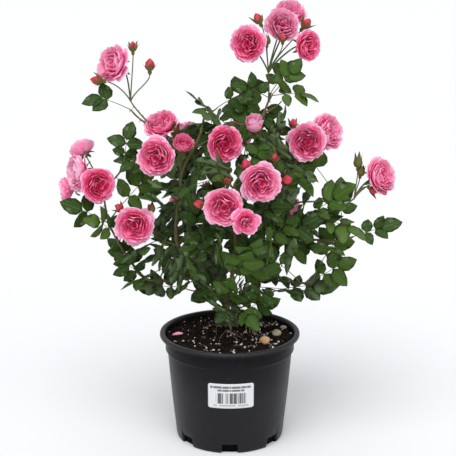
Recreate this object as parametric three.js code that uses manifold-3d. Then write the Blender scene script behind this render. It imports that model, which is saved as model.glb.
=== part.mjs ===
// A rose bush in a round nursery pot, as plain closed solids: the pot, its soil, the short woody foot,
// the canes and boughs, and the masses of foliage and blossom that make up the crown.
// Millimetres, +Z up. The origin is the centre of the pot's flat underside, and the front faces -Y.
import * as THREE from 'three';
import { mergeVertices } from 'three/addons/utils/BufferGeometryUtils.js';
import Module from 'manifold-3d';

const wasm = await Module();
wasm.setup();

// ---------- driving dimensions ----------

const TOUCH = 0.35; // clear gap kept between pieces that meet

const POT = {
  rimRadius: 140, // outer edge of the lip
  height: 218,
  lipHeight: 8,
  lipInner: 131, // where the lip's flat top begins
  collarTop: 130.2, // outer radius just under the lip
  collarFoot: 128.4,
  collarFootZ: 183.5,
  bodyTop: 124.8, // outer radius under the collar's step
  bodyTopZ: 178.5,
  footRadius: 107.8, // outer radius above the rounded bottom edge
  footZ: 7,
  baseRadius: 103.8, // edge of the flat underside
  wall: 2,
  floor: 2.4,
  segments: 42,
};
const DRAIN = { count: 7, width: 33, height: 15, depth: 17 }; // openings round the bottom edge
const SOIL_Z = 208.5; // level of the potting mix
const SOIL_SINK = 1.5; // how far it dips at the pot's wall
const LABEL = { width: 90, height: 52, thick: 0.5, centreZ: 125.5, columns: 12 };

const FOOT = { x: 0, y: 55, radius: 19, topRadius: 15, height: 26 }; // the woody crown of the bush
const CANE = { radius: 4.6, ring: 9.8, sides: 7, rings: 7, bow: 1.5 };
const BOUGH_SIDES = 6;
const BOUGH_RINGS = 6;

// ---------- shared helpers ----------

// A closed three.js geometry as a manifold-3d solid.
function solid(geometry) {
  const bare = geometry.clone();
  for (const extra of ['normal', 'uv']) bare.deleteAttribute(extra);
  const merged = mergeVertices(bare, 1e-3);
  return new wasm.Manifold(
    new wasm.Mesh({
      numProp: 3,
      vertProperties: merged.attributes.position.array,
      triVerts: new Uint32Array(merged.index.array),
    }),
  );
}

// A manifold-3d solid back as a three.js geometry.
function geometryOf(body) {
  const mesh = body.getMesh();
  return new THREE.BufferGeometry()
    .setAttribute('position', new THREE.BufferAttribute(mesh.vertProperties, 3))
    .setIndex(new THREE.BufferAttribute(mesh.triVerts, 1));
}

function largestPiece(body) {
  return body.decompose().sort((a, b) => b.volume() - a.volume())[0];
}

// A profile of [radius, z] points turned about the Z axis.
function lathe(profile, segments) {
  const points = profile.map(([r, z]) => new THREE.Vector2(r, z));
  return new THREE.LatheGeometry(points, segments).rotateX(Math.PI / 2);
}

function plastic(color, roughness) {
  return new THREE.MeshStandardMaterial({ color, roughness, metalness: 0 });
}

const MATERIALS = {
  pot: plastic(0x26262a, 0.5),
  soil: plastic(0x2a1d15, 1),
  label: plastic(0xe2e2e0, 0.5),
  wood: plastic(0x5d5237, 0.8),
  cane: plastic(0x5b6b35, 0.7),
  foliage: plastic(0x3a6228, 0.6),
  blossom: plastic(0xe8659c, 0.7),
};

const bush = new THREE.Group();

function add(name, geometry, material) {
  const mesh = new THREE.Mesh(geometry, MATERIALS[material]);
  mesh.name = name;
  bush.add(mesh);
  return mesh;
}

// ---------- pot, soil and label ----------

// Outer radius of the tapering body between its foot and the collar's step.
function bodyRadius(z) {
  const share = (z - POT.footZ) / (POT.bodyTopZ - POT.footZ);
  return THREE.MathUtils.lerp(POT.footRadius, POT.bodyTop, share);
}

// Inner radius of the wall at any height below the lip.
function innerRadius(z) {
  if (z < POT.footZ) return POT.footRadius - POT.wall;
  if (z < POT.bodyTopZ) return bodyRadius(z) - POT.wall;
  if (z < POT.collarFootZ) return POT.bodyTop - POT.wall;
  return POT.collarFoot - POT.wall;
}

function pot() {
  const lipFoot = POT.height - POT.lipHeight;
  const profile = [
    [0, 0],
    [POT.baseRadius, 0],
    [POT.footRadius - 1, POT.footZ / 3],
    [POT.footRadius, POT.footZ],
    [POT.bodyTop, POT.bodyTopZ],
    [POT.collarFoot, POT.collarFootZ],
    [POT.collarTop, lipFoot],
    [POT.rimRadius - 0.6, lipFoot],
    [POT.rimRadius, lipFoot + 1.5],
    [POT.rimRadius, POT.height - 2],
    [POT.rimRadius - 1.5, POT.height],
    [POT.lipInner, POT.height],
    [POT.collarTop - POT.wall, POT.height - 3],
    [innerRadius(POT.collarFootZ), POT.collarFootZ],
    [innerRadius(POT.bodyTopZ), POT.bodyTopZ],
    [innerRadius(POT.footZ), POT.footZ],
    [POT.baseRadius - POT.wall, POT.floor],
    [0, POT.floor],
  ];
  let shell = solid(lathe(profile, POT.segments));
  for (let i = 0; i < DRAIN.count; i++) {
    const angle = (i / DRAIN.count) * 2 * Math.PI - Math.PI / 2; // the first one faces front
    const cutter = new THREE.BoxGeometry(DRAIN.depth * 2, DRAIN.width, DRAIN.height * 2)
      .translate(POT.footRadius, 0, 0)
      .rotateZ(angle);
    shell = shell.subtract(solid(cutter));
  }
  add('pot', geometryOf(shell), 'pot');
}

function soil() {
  const bottom = DRAIN.height + 1; // stays above the drainage openings
  const fit = (z) => innerRadius(z) - 0.6;
  const profile = [
    [0, bottom],
    [fit(bottom), bottom],
    [fit(POT.bodyTopZ - 1), POT.bodyTopZ - 1],
    [fit(POT.bodyTopZ), POT.collarFootZ + 1],
    [fit(POT.collarFootZ), SOIL_Z - SOIL_SINK],
    [fit(POT.collarFootZ) - 16, SOIL_Z],
    [0, SOIL_Z],
  ];
  add('soil', lathe(profile, POT.segments), 'soil');
}

// A thin plate bent round the tapering body: a grid of columns, with an inner and an outer skin.
function label() {
  const skins = [TOUCH, TOUCH + LABEL.thick];
  const rows = [LABEL.centreZ - LABEL.height / 2, LABEL.centreZ + LABEL.height / 2];
  const halfAngle = LABEL.width / 2 / bodyRadius(LABEL.centreZ);
  const facet = 1 / Math.cos(Math.PI / POT.segments); // keeps the plate off the pot's flat facets
  const at = [];
  for (let c = 0; c <= LABEL.columns; c++) {
    const angle = -Math.PI / 2 + halfAngle * ((2 * c) / LABEL.columns - 1);
    for (const off of skins)
      for (const z of rows) {
        const r = bodyRadius(z) * facet + off;
        at.push(r * Math.cos(angle), r * Math.sin(angle), z);
      }
  }
  const faces = [];
  const quad = (a, b, c, d) => faces.push(a, b, c, a, c, d);
  // corners of one column: 0 inner low, 1 inner high, 2 outer low, 3 outer high
  for (let c = 0; c < LABEL.columns; c++) {
    const [i, j] = [4 * c, 4 * c + 4];
    quad(i + 2, j + 2, j + 3, i + 3);
    quad(i, i + 1, j + 1, j);
    quad(i, j, j + 2, i + 2);
    quad(i + 1, i + 3, j + 3, j + 1);
  }
  const last = 4 * LABEL.columns;
  quad(0, 2, 3, 1);
  quad(last, last + 1, last + 3, last + 2);
  const plate = new THREE.BufferGeometry()
    .setAttribute('position', new THREE.Float32BufferAttribute(at, 3))
    .setIndex(faces);
  add('label', plate, 'label');
}

// ---------- masses of foliage and blossom ----------

// The crown's own middle, round which its tiers of foliage stand.
const CROWN = { x: 5, y: 8 };

// Each tier is a ring of masses: its height, its radius, the half sizes of one mass, and the turn at which
// its first sector stands.
const TIERS = [
  {
    name: 'lower',
    z: 324,
    ring: 68,
    half: [74, 74, 58],
    turn: 0,
    sectors: ['right', 'back', 'left', 'front'],
  },
  {
    name: 'middle',
    z: 424,
    ring: 106,
    half: [93, 88, 72],
    turn: 54,
    sectors: ['back_right', 'back_left', 'left', 'front', 'right'],
  },
  {
    name: 'upper',
    z: 538,
    ring: 106,
    half: [92, 84, 68],
    turn: 54,
    sectors: ['back_right', 'back_left', 'left', 'front', 'right'],
  },
  {
    name: 'crown',
    z: 612,
    ring: 62,
    half: [82, 66, 44],
    turn: 90,
    sectors: ['back', 'left', 'right'],
  },
];
const UNEVEN = { height: 13, ring: 7, size: 0.07 }; // how far one mass may stray from its even place

// Sprays and flower trusses that stand clear of the core: middle, half sizes, and what they hold.
const OUTLIERS = [
  { name: 'foliage_skirt', at: [0, -12, 268], half: [48, 42, 34], of: 'foliage' },
  { name: 'foliage_drooping_left', at: [-168, -20, 336], half: [42, 38, 50], of: 'foliage' },
  { name: 'foliage_drooping_right', at: [160, -20, 328], half: [36, 38, 50], of: 'foliage' },
  { name: 'foliage_far_left', at: [-232, -32, 452], half: [50, 40, 60], of: 'foliage' },
  { name: 'foliage_far_right', at: [242, -8, 420], half: [54, 34, 58], of: 'foliage' },
  { name: 'foliage_side_left', at: [-206, -16, 556], half: [38, 38, 52], of: 'foliage' },
  { name: 'foliage_side_right', at: [214, -8, 494], half: [50, 34, 32], of: 'foliage' },
  { name: 'foliage_top_left', at: [-182, 14, 662], half: [66, 32, 32], of: 'foliage' },
  { name: 'foliage_top_middle', at: [-44, 34, 662], half: [76, 32, 26], of: 'foliage' },
  { name: 'foliage_top_right', at: [74, 50, 688], half: [92, 38, 42], of: 'foliage' },
  { name: 'truss_far_left', at: [-278, -14, 540], half: [58, 56, 66], of: 'blossom' },
  { name: 'truss_far_right', at: [284, 0, 532], half: [44, 36, 36], of: 'blossom' },
  { name: 'truss_upper_right', at: [172, -8, 614], half: [64, 48, 44], of: 'blossom' },
  { name: 'truss_top_left', at: [-212, 24, 746], half: [50, 38, 44], of: 'blossom' },
  { name: 'bloom_upper_left', at: [-134, 0, 636], half: [42, 36, 30], of: 'blossom' },
  { name: 'bloom_top_left', at: [34, 28, 784], half: [39, 36, 39], of: 'blossom' },
  { name: 'bloom_top_middle', at: [106, 60, 826], half: [46, 42, 38], of: 'blossom' },
  { name: 'bloom_top_right', at: [151, 48, 778], half: [33, 34, 35], of: 'blossom' },
];

// A repeatable stray value between -1 and 1 for the nth mass.
const stray = (n, kind) => Math.sin(n * 2.4 + kind * 1.9 + 0.6);

function coreMasses() {
  let n = 0;
  return TIERS.flatMap((tier) =>
    tier.sectors.map((sector, i) => {
      n += 1;
      const angle = THREE.MathUtils.degToRad(tier.turn) + (i / tier.sectors.length) * 2 * Math.PI;
      const ring = tier.ring + UNEVEN.ring * stray(n, 1);
      const grown = 1 + UNEVEN.size * stray(n, 2);
      return {
        name: `foliage_${tier.name}_${sector}`,
        at: [
          CROWN.x + ring * Math.cos(angle),
          CROWN.y + ring * Math.sin(angle),
          tier.z + UNEVEN.height * stray(n, 3),
        ],
        half: tier.half.map((half) => half * grown),
        of: 'foliage',
      };
    }),
  );
}

const MASS_DETAIL = 2;
const LUMPS = 5;
const LUMP_DEPTH = 0.065;

// How far an uneven ellipsoid reaches in a direction: its smooth radius times a few rounded lumps.
function reach(mass, order, way) {
  const [a, b, c] = mass.half;
  const smooth = 1 / Math.hypot(way.x / a, way.y / b, way.z / c);
  let lumps = 1;
  for (let k = 1; k <= LUMPS; k++) {
    const phase = order * 1.7 + k * 2.4;
    const wave = Math.sin((k + 1) * way.x * 1.9 + phase) * Math.cos((k + 2) * way.y * 1.6 - phase);
    lumps += LUMP_DEPTH * wave * Math.cos((k + 1) * way.z * 1.4 + phase / 2);
  }
  return smooth * lumps;
}

const meanHalf = (mass) => Math.cbrt(mass.half[0] * mass.half[1] * mass.half[2]);

// One mass: an icosphere pushed out to its reach, and held back at the plane that parts it from each
// neighbour. grow pushes the whole surface out a little, for trimming the limbs that enter it.
function massGeometry(masses, order, grow = 0) {
  const mass = masses[order];
  const middle = new THREE.Vector3(...mass.at);
  const planes = masses
    .filter((other) => other !== mass)
    .map((other) => {
      const across = new THREE.Vector3(...other.at).sub(middle);
      const apart = across.length();
      const share = (apart ** 2 + meanHalf(mass) ** 2 - meanHalf(other) ** 2) / (2 * apart);
      return { normal: across.normalize(), limit: share - TOUCH };
    });
  const ball = mergeVertices(
    new THREE.IcosahedronGeometry(1, MASS_DETAIL)
      .deleteAttribute('normal')
      .deleteAttribute('uv'),
    1e-4,
  );
  const position = ball.attributes.position;
  const way = new THREE.Vector3();
  for (let i = 0; i < position.count; i++) {
    way.fromBufferAttribute(position, i).normalize();
    let r = reach(mass, order, way);
    for (const plane of planes) {
      const towards = plane.normal.dot(way);
      if (towards > 0.01) r = Math.min(r, plane.limit / towards);
    }
    way.multiplyScalar(r + grow).add(middle);
    position.setXYZ(i, way.x, way.y, way.z);
  }
  return ball;
}

// ---------- foot, canes and boughs ----------

// A tapering limb whose sections are level polygons, from its foot up to its tip.
// It leaves its foot steeply and leans over as it climbs, by the power bow.
function limbGeometry(foot, tip, footRadius, tipRadius, sides, rings, bow) {
  const at = [];
  const faces = [];
  for (let r = 0; r <= rings; r++) {
    const t = r / rings;
    const lean = Math.pow(t, bow);
    const radius = THREE.MathUtils.lerp(footRadius, tipRadius, t);
    for (let s = 0; s < sides; s++) {
      const angle = (s / sides) * 2 * Math.PI;
      at.push(
        THREE.MathUtils.lerp(foot[0], tip[0], lean) + radius * Math.cos(angle),
        THREE.MathUtils.lerp(foot[1], tip[1], lean) + radius * Math.sin(angle),
        THREE.MathUtils.lerp(foot[2], tip[2], t),
      );
    }
  }
  for (let r = 0; r < rings; r++)
    for (let s = 0; s < sides; s++) {
      const [a, b] = [r * sides + s, r * sides + ((s + 1) % sides)];
      faces.push(a, b, b + sides, a, b + sides, a + sides);
    }
  const top = rings * sides;
  for (let s = 1; s < sides - 1; s++) {
    faces.push(0, s + 1, s);
    faces.push(top, top + s, top + s + 1);
  }
  return new THREE.BufferGeometry()
    .setAttribute('position', new THREE.Float32BufferAttribute(at, 3))
    .setIndex(faces);
}

// The woody foot: flared where it leaves the soil, with a flat cut at each end.
function foot() {
  const z = SOIL_Z + TOUCH;
  const flare = FOOT.radius - FOOT.topRadius;
  const profile = [[0, z]];
  for (let i = 0; i <= 4; i++) {
    const t = i / 4;
    profile.push([FOOT.topRadius + flare * (1 - t) ** 2, z + FOOT.height * t]);
  }
  profile.push([0, z + FOOT.height]);
  add('stem_foot', lathe(profile, 14).translate(FOOT.x, FOOT.y, 0), 'wood');
}

// The canes leave the top of the foot in a ring, each heading for the middle of one mass.
const CANES = [
  { name: 'cane_right', to: 'foliage_lower_right', seat: 0 },
  { name: 'cane_back_right', to: 'foliage_middle_back_right', seat: 60 },
  { name: 'cane_back', to: 'foliage_lower_back', seat: 120 },
  { name: 'cane_left', to: 'foliage_lower_left', seat: 180 },
  { name: 'cane_front_left', to: 'foliage_drooping_left', seat: 240 },
  { name: 'cane_front_right', to: 'foliage_lower_front', seat: 300 },
];

// Bare stretches that show between two masses.
const BOUGHS = [
  { name: 'bough_far_left', from: 'foliage_middle_left', to: 'truss_far_left', radius: 2.4 },
  { name: 'bough_far_right', from: 'foliage_far_right', to: 'truss_far_right', radius: 2.6 },
  { name: 'bough_top_left', from: 'foliage_top_left', to: 'truss_top_left', radius: 2.3 },
  { name: 'bough_top_right', from: 'foliage_top_right', to: 'bloom_top_right', radius: 2.2 },
  { name: 'bough_top_middle', from: 'foliage_top_right', to: 'bloom_top_middle', radius: 2.4 },
  { name: 'bough_top_bloom', from: 'foliage_top_right', to: 'bloom_top_left', radius: 2.2 },
];

function build() {
  pot();
  soil();
  label();
  foot();

  const masses = [...coreMasses(), ...OUTLIERS];
  const order = (name) => masses.findIndex((mass) => mass.name === name);
  const trims = masses.map((_, i) => solid(massGeometry(masses, i, TOUCH)));
  masses.forEach((mass, i) => add(mass.name, massGeometry(masses, i), mass.of));

  const trimmed = (limb) => largestPiece(trims.reduce((left, mass) => left.subtract(mass), limb));
  const footTop = SOIL_Z + FOOT.height + 2 * TOUCH;
  for (const { name, to, seat } of CANES) {
    const angle = THREE.MathUtils.degToRad(seat);
    const start = [FOOT.x + CANE.ring * Math.cos(angle), FOOT.y + CANE.ring * Math.sin(angle), footTop];
    const end = masses[order(to)].at;
    const limb = limbGeometry(start, end, CANE.radius, CANE.radius * 0.8, CANE.sides, CANE.rings, CANE.bow);
    add(name, geometryOf(trimmed(solid(limb))), 'cane');
  }
  for (const { name, from, to, radius } of BOUGHS) {
    const [start, end] = [masses[order(from)].at, masses[order(to)].at];
    const limb = limbGeometry(start, end, radius, radius * 0.7, BOUGH_SIDES, BOUGH_RINGS, 1);
    add(name, geometryOf(trimmed(solid(limb))), 'cane');
  }
}

build();

export default bush;
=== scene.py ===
"""A rose bush with pink rosette blooms in its black nursery pot. Metres, +Z up, the front faces -Y."""

import math

import bpy
import numpy as np
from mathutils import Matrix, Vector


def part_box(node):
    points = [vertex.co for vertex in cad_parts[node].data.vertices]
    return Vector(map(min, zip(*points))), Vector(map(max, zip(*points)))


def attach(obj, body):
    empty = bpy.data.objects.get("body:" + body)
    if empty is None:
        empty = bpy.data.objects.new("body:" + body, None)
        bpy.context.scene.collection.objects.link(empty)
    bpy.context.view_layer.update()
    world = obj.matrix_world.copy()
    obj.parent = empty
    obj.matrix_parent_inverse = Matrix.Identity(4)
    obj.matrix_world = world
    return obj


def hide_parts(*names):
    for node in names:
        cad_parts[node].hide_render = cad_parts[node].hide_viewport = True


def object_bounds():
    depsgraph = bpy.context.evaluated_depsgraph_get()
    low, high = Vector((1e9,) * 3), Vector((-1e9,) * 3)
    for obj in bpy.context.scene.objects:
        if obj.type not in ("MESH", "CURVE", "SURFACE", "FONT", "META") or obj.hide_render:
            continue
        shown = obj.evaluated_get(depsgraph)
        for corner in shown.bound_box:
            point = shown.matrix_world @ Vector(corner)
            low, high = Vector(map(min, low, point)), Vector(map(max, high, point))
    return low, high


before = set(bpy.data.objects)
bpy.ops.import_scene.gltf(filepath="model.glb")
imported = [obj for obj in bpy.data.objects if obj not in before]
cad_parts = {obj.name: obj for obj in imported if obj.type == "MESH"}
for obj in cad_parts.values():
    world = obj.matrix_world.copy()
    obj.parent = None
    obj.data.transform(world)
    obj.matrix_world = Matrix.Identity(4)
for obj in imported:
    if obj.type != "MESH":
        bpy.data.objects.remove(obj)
cad_box = [list(corner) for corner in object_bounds()]
rng = np.random.default_rng(41)
UP = np.array([0.0, 0.0, 1.0])
GOLDEN = math.radians(137.508)


# ---------- small tools ----------


def unit(v):
    """Each vector divided by its own length."""
    v = np.asarray(v, float)
    return v / np.maximum(np.linalg.norm(v, axis=-1, keepdims=True), 1e-9)


def mix(a, b, share):
    """The value share of the way from a to b."""
    return a + (b - a) * share


def heading(azimuth, elevation):
    """Unit vector: azimuth 0 looks out to the front, 90 to the right, and elevation tilts it upwards."""
    a, e = math.radians(azimuth), math.radians(elevation)
    return np.array([math.sin(a) * math.cos(e), -math.cos(a) * math.cos(e), math.sin(e)])


def frames_from(along, lift):
    """Three unit axes for each direction: along it, across it, and the side nearest to lift."""
    along = unit(along)
    across = unit(np.cross(lift, along))
    return along, across, np.cross(along, across)


def turns(count):
    """Angles that share one whole turn evenly, starting at 0."""
    return np.linspace(0, 2 * math.pi, count, endpoint=False)


def corners(node):
    """The lowest and the highest corner of a node's box."""
    low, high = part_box(node)
    return np.array(low), np.array(high)


def grid_faces(rows, cols, closed=False):
    """Quads of a grid of points in row order, closed round its columns or not."""
    r, c = np.meshgrid(np.arange(rows - 1), np.arange(cols if closed else cols - 1), indexing="ij")
    this, above, beside = r * cols, (r + 1) * cols, (c + 1) % cols
    return np.stack([this + c, this + beside, above + beside, above + c], -1).reshape(-1, 4)


def end_fans(rows, cols):
    """Triangles that close the first and the last ring of a round grid with the two points after it."""
    ring = np.arange(cols)
    after = (ring + 1) % cols
    last = (rows - 1) * cols
    return np.concatenate([
        np.stack([np.full(cols, rows * cols), after, ring], -1),
        np.stack([np.full(cols, rows * cols + 1), last + ring, last + after], -1),
    ])


def offsets(count, each):
    """Where the points of each of count equal shapes begin, to be added to the faces of the first one."""
    return (np.arange(count) * each)[:, None, None]


def shape(points, quads=None, tris=None, uv=None, **marks):
    """A bare mesh as arrays: points, quads and triangles, a flat map, and named values for each point."""
    points = np.asarray(points, float).reshape(-1, 3)
    none4, none3 = np.zeros((0, 4), int), np.zeros((0, 3), int)
    return {
        "points": points,
        "quads": none4 if quads is None else np.asarray(quads, int).reshape(-1, 4),
        "tris": none3 if tris is None else np.asarray(tris, int).reshape(-1, 3),
        "uv": np.zeros((len(points), 2)) if uv is None else np.asarray(uv, float).reshape(-1, 2),
        "marks": {k: np.broadcast_to(np.asarray(v, float), (len(points),)).copy() for k, v in marks.items()},
    }


def joined(shapes):
    """Several shapes as one, with the face numbers shifted past the points before them."""
    shapes = [s for s in shapes if len(s["points"])]
    starts = np.cumsum([0] + [len(s["points"]) for s in shapes[:-1]])
    names = sorted({k for s in shapes for k in s["marks"]})
    out = shape(
        np.concatenate([s["points"] for s in shapes]),
        np.concatenate([s["quads"] + a for s, a in zip(shapes, starts)]),
        np.concatenate([s["tris"] + a for s, a in zip(shapes, starts)]),
        np.concatenate([s["uv"] for s in shapes]),
    )
    for k in names:
        out["marks"][k] = np.concatenate([s["marks"].get(k, np.zeros(len(s["points"]))) for s in shapes])
    return out


def lathe(rings, low, high, **marks):
    """A closed surface: a grid of points closed round its columns, with its first ring shut by the point low
    and its last ring by the point high. Each mark is its values on the grid, at low and at high."""
    size = rings.shape[:2]
    points = np.concatenate([rings.reshape(-1, 3), [low, high]])
    marks = {
        name: np.append(np.broadcast_to(values, size).ravel(), [at_low, at_high])
        for name, (values, at_low, at_high) in marks.items()
    }
    return shape(points, grid_faces(*size, closed=True), end_fans(*size), None, **marks)


def round_rings(r, turn, z):
    """Rings of points at radius r, angle turn and height z, with the three arrays spread over one grid."""
    return np.stack(np.broadcast_arrays(r * np.cos(turn), r * np.sin(turn), z), -1)


def placed(part, origin, along, across, above):
    """A shape moved so that its own X, Y and Z run along, across and above, at origin."""
    return {**part, "points": part["points"] @ np.stack([along, across, above]) + origin}


def copies(templates, pick, origins, along, across, above, size):
    """Many copies at once: template pick[i] scaled, turned to its three axes and moved to origins[i]."""
    points = np.stack([t["points"] for t in templates])[pick]
    turned = np.einsum("nvi,nij->nvj", points * size[:, None, None], np.stack([along, across, above], 1))
    turned += origins[:, None, :]
    shift = offsets(*turned.shape[:2])
    one = templates[0]
    return shape(turned, one["quads"] + shift, one["tris"] + shift, np.tile(one["uv"], (len(turned), 1)))


def tubes(paths, radii, sides=6, **marks):
    """Round tubes along many paths at once: each ring is its centre plus radius times (cos, sin) on two axes
    carried along the path, and each end is closed by one point. A mark is one value for all of them."""
    paths, radii = np.asarray(paths, float), np.asarray(radii, float)
    count, rings = paths.shape[:2]
    along = unit(np.gradient(paths, axis=1))
    side = np.empty_like(along)
    start = np.where(np.abs(along[:, :1, 2:]) > 0.9, [[[1.0, 0, 0]]], [[[0, 0, 1.0]]])
    side[:, :1] = unit(np.cross(along[:, :1], start))
    for j in range(1, rings):
        back = side[:, j - 1]
        side[:, j] = unit(back - np.sum(back * along[:, j], -1, keepdims=True) * along[:, j])
    other = np.cross(along, side)
    turn = turns(sides)
    wall = side[:, :, None] * np.cos(turn)[:, None] + other[:, :, None] * np.sin(turn)[:, None]
    wall = paths[:, :, None] + wall * radii[:, :, None, None]
    foot_point = paths[:, 0] - along[:, 0] * radii[:, :1] * 0.5
    tip_point = paths[:, -1] + along[:, -1] * radii[:, -1:] * 0.8
    points = np.concatenate([wall.reshape(count, -1, 3), np.stack([foot_point, tip_point], 1)], 1)
    foot, tip, each = rings * sides, rings * sides + 1, rings * sides + 2
    shift = offsets(count, each)
    length = np.linalg.norm(np.diff(paths, axis=1), axis=-1).cumsum(1)
    length = np.concatenate([np.zeros((count, 1)), length], 1)
    uv = np.zeros((count, each, 2))
    uv[:, :foot, 0] = np.tile(turn / (2 * math.pi), rings)
    uv[:, :foot, 1] = np.repeat(length, sides, axis=1)
    uv[:, foot, 1], uv[:, tip, 1] = length[:, 0], length[:, -1]
    quads, tris = grid_faces(rings, sides, closed=True), end_fans(rings, sides)
    return shape(points, quads + shift, tris + shift, uv, **marks)


def arcs(start, end, leave, arrive, rings):
    """Smooth cubic paths from start to end that leave and arrive along the given vectors (Hermite)."""
    t = np.linspace(0, 1, rings)[:, None]
    start, end = np.atleast_2d(start)[:, None], np.atleast_2d(end)[:, None]
    leave, arrive = np.atleast_2d(leave)[:, None], np.atleast_2d(arrive)[:, None]
    return (
        start * (2 * t**3 - 3 * t**2 + 1)
        + leave * (t**3 - 2 * t**2 + t)
        + end * (3 * t**2 - 2 * t**3)
        + arrive * (t**3 - t**2)
    )


def added(name, data):
    """A new object with this data, put into the scene."""
    obj = bpy.data.objects.new(name, data)
    bpy.context.scene.collection.objects.link(obj)
    return obj


def piece(name, part, materials, replaces=(), which=None):
    """Puts a shape into the scene as one smooth mesh that rides with the pot and plant. which gives the
    number of the material of each face where there are several."""
    quads, tris = part["quads"], part["tris"]
    loops = np.concatenate([quads.ravel(), tris.ravel()])
    totals = np.concatenate([np.full(len(quads), 4), np.full(len(tris), 3)])
    mesh = bpy.data.meshes.new(name)
    mesh.vertices.add(len(part["points"]))
    mesh.vertices.foreach_set("co", part["points"].astype(np.float32).ravel())
    mesh.loops.add(len(loops))
    mesh.loops.foreach_set("vertex_index", loops.astype(np.int32))
    mesh.polygons.add(len(totals))
    mesh.polygons.foreach_set("loop_start", np.concatenate([[0], np.cumsum(totals)[:-1]]).astype(np.int32))
    mesh.polygons.foreach_set("use_smooth", np.full(len(totals), True))
    if which is not None:
        mesh.polygons.foreach_set("material_index", np.asarray(which, np.int32))
    flat = mesh.uv_layers.new(name="flat")
    flat.data.foreach_set("uv", part["uv"][loops].astype(np.float32).ravel())
    for key, values in part["marks"].items():
        mesh.attributes.new(key, "FLOAT", "POINT").data.foreach_set("value", values.astype(np.float32))
    mesh.update(calc_edges=True)
    mesh.validate()
    for material in materials:
        mesh.materials.append(material)
    obj = added(name, mesh)
    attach(obj, "root")
    if replaces:
        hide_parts(*replaces)


# ---------- materials ----------


class Finish:
    """A node material with short calls for the few nodes that every finish here uses."""

    def __init__(self, name, roughness=0.6, **sockets):
        self.material = bpy.data.materials.new(name)
        self.material.use_nodes = True
        self.tree = self.material.node_tree
        self.shader = self.tree.nodes["Principled BSDF"]
        self.shader.inputs["Roughness"].default_value = roughness
        for key, value in sockets.items():
            self.shader.inputs[key.replace("_", " ")].default_value = value

    def node(self, kind, **inputs):
        """A new shader node with its inputs fed."""
        made = self.tree.nodes.new("ShaderNode" + kind)
        for key, value in inputs.items():
            self.feed(made.inputs[key.replace("_", " ")], value)
        return made

    def feed(self, socket, value):
        """Links another node's output to the socket, or sets a plain value; a colour is made opaque."""
        if hasattr(value, "links"):
            self.tree.links.new(value, socket)
            return
        colour = socket.type == "RGBA" and isinstance(value, tuple) and len(value) == 3
        socket.default_value = (*value, 1) if colour else value

    def place(self):
        """Where a point lies, in metres."""
        return self.node("TexCoord").outputs["Object"]

    def flat(self):
        """Where a point lies on the piece's flat map."""
        made = self.node("UVMap")
        made.uv_map = "flat"
        return made.outputs["UV"]

    def mark(self, name):
        """The value that the mesh carries under this name."""
        made = self.node("Attribute")
        made.attribute_name = name
        return made.outputs["Fac"]

    def noise(self, scale, detail=3.0, rough=0.55, at=None):
        """Noise from 0 to 1 with about scale lumps to the metre, or on the given coordinates."""
        made = self.node("TexNoise", Vector=at or self.place(), Scale=scale, Detail=detail, Roughness=rough)
        return made.outputs["Fac"]

    def maths(self, operation, a, b=0.5):
        """One sum of two values; operations of one value pass over b."""
        made = self.node("Math")
        made.operation = operation
        self.feed(made.inputs[0], a)
        self.feed(made.inputs[1], b)
        return made.outputs[0]

    def times(self, *values):
        """The product of all the values."""
        out = values[0]
        for value in values[1:]:
            out = self.maths("MULTIPLY", out, value)
        return out

    def step(self, value, low, high):
        """0 below low and 1 above high, straight between them (or the other way round where high is less)."""
        made = self.node("MapRange", Value=value)
        made.inputs["From Min"].default_value = low
        made.inputs["From Max"].default_value = high
        return made.outputs[0]

    def band(self, value, low, high):
        """1 between low and high, 0 outside."""
        return self.times(self.maths("GREATER_THAN", value, low), self.maths("LESS_THAN", value, high))

    def ramp(self, value, *stops):
        """A colour looked up between the stops, each a value and its colour."""
        made = self.node("ValToRGB", Fac=value)
        ramp = made.color_ramp
        for spot, _ in stops[2:]:
            ramp.elements.new(spot)
        for element, (spot, colour) in zip(ramp.elements, sorted(stops)):
            element.position = spot
            element.color = (*colour, 1)
        return made.outputs["Color"]

    def blend(self, share, a, b):
        """The colour share of the way from a to b."""
        made = self.node("Mix")
        made.data_type = "RGBA"
        for index, value in ((0, share), (6, a), (7, b)):
            self.feed(made.inputs[index], value)
        return made.outputs[2]

    def colour(self, value):
        """Gives the finish its colour."""
        self.feed(self.shader.inputs["Base Color"], value)

    def rough(self, value, low, high):
        """Roughness from low to high as the value goes from 0 to 1."""
        made = self.node("MapRange", Value=value)
        made.inputs["To Min"].default_value = low
        made.inputs["To Max"].default_value = high
        self.feed(self.shader.inputs["Roughness"], made.outputs[0])

    def bump(self, height, strength, distance):
        """Small relief: the height times the distance in metres, at the given strength."""
        made = self.node("Bump", Height=height)
        made.inputs["Strength"].default_value = strength
        made.inputs["Distance"].default_value = distance
        self.feed(self.shader.inputs["Normal"], made.outputs["Normal"])


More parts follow.
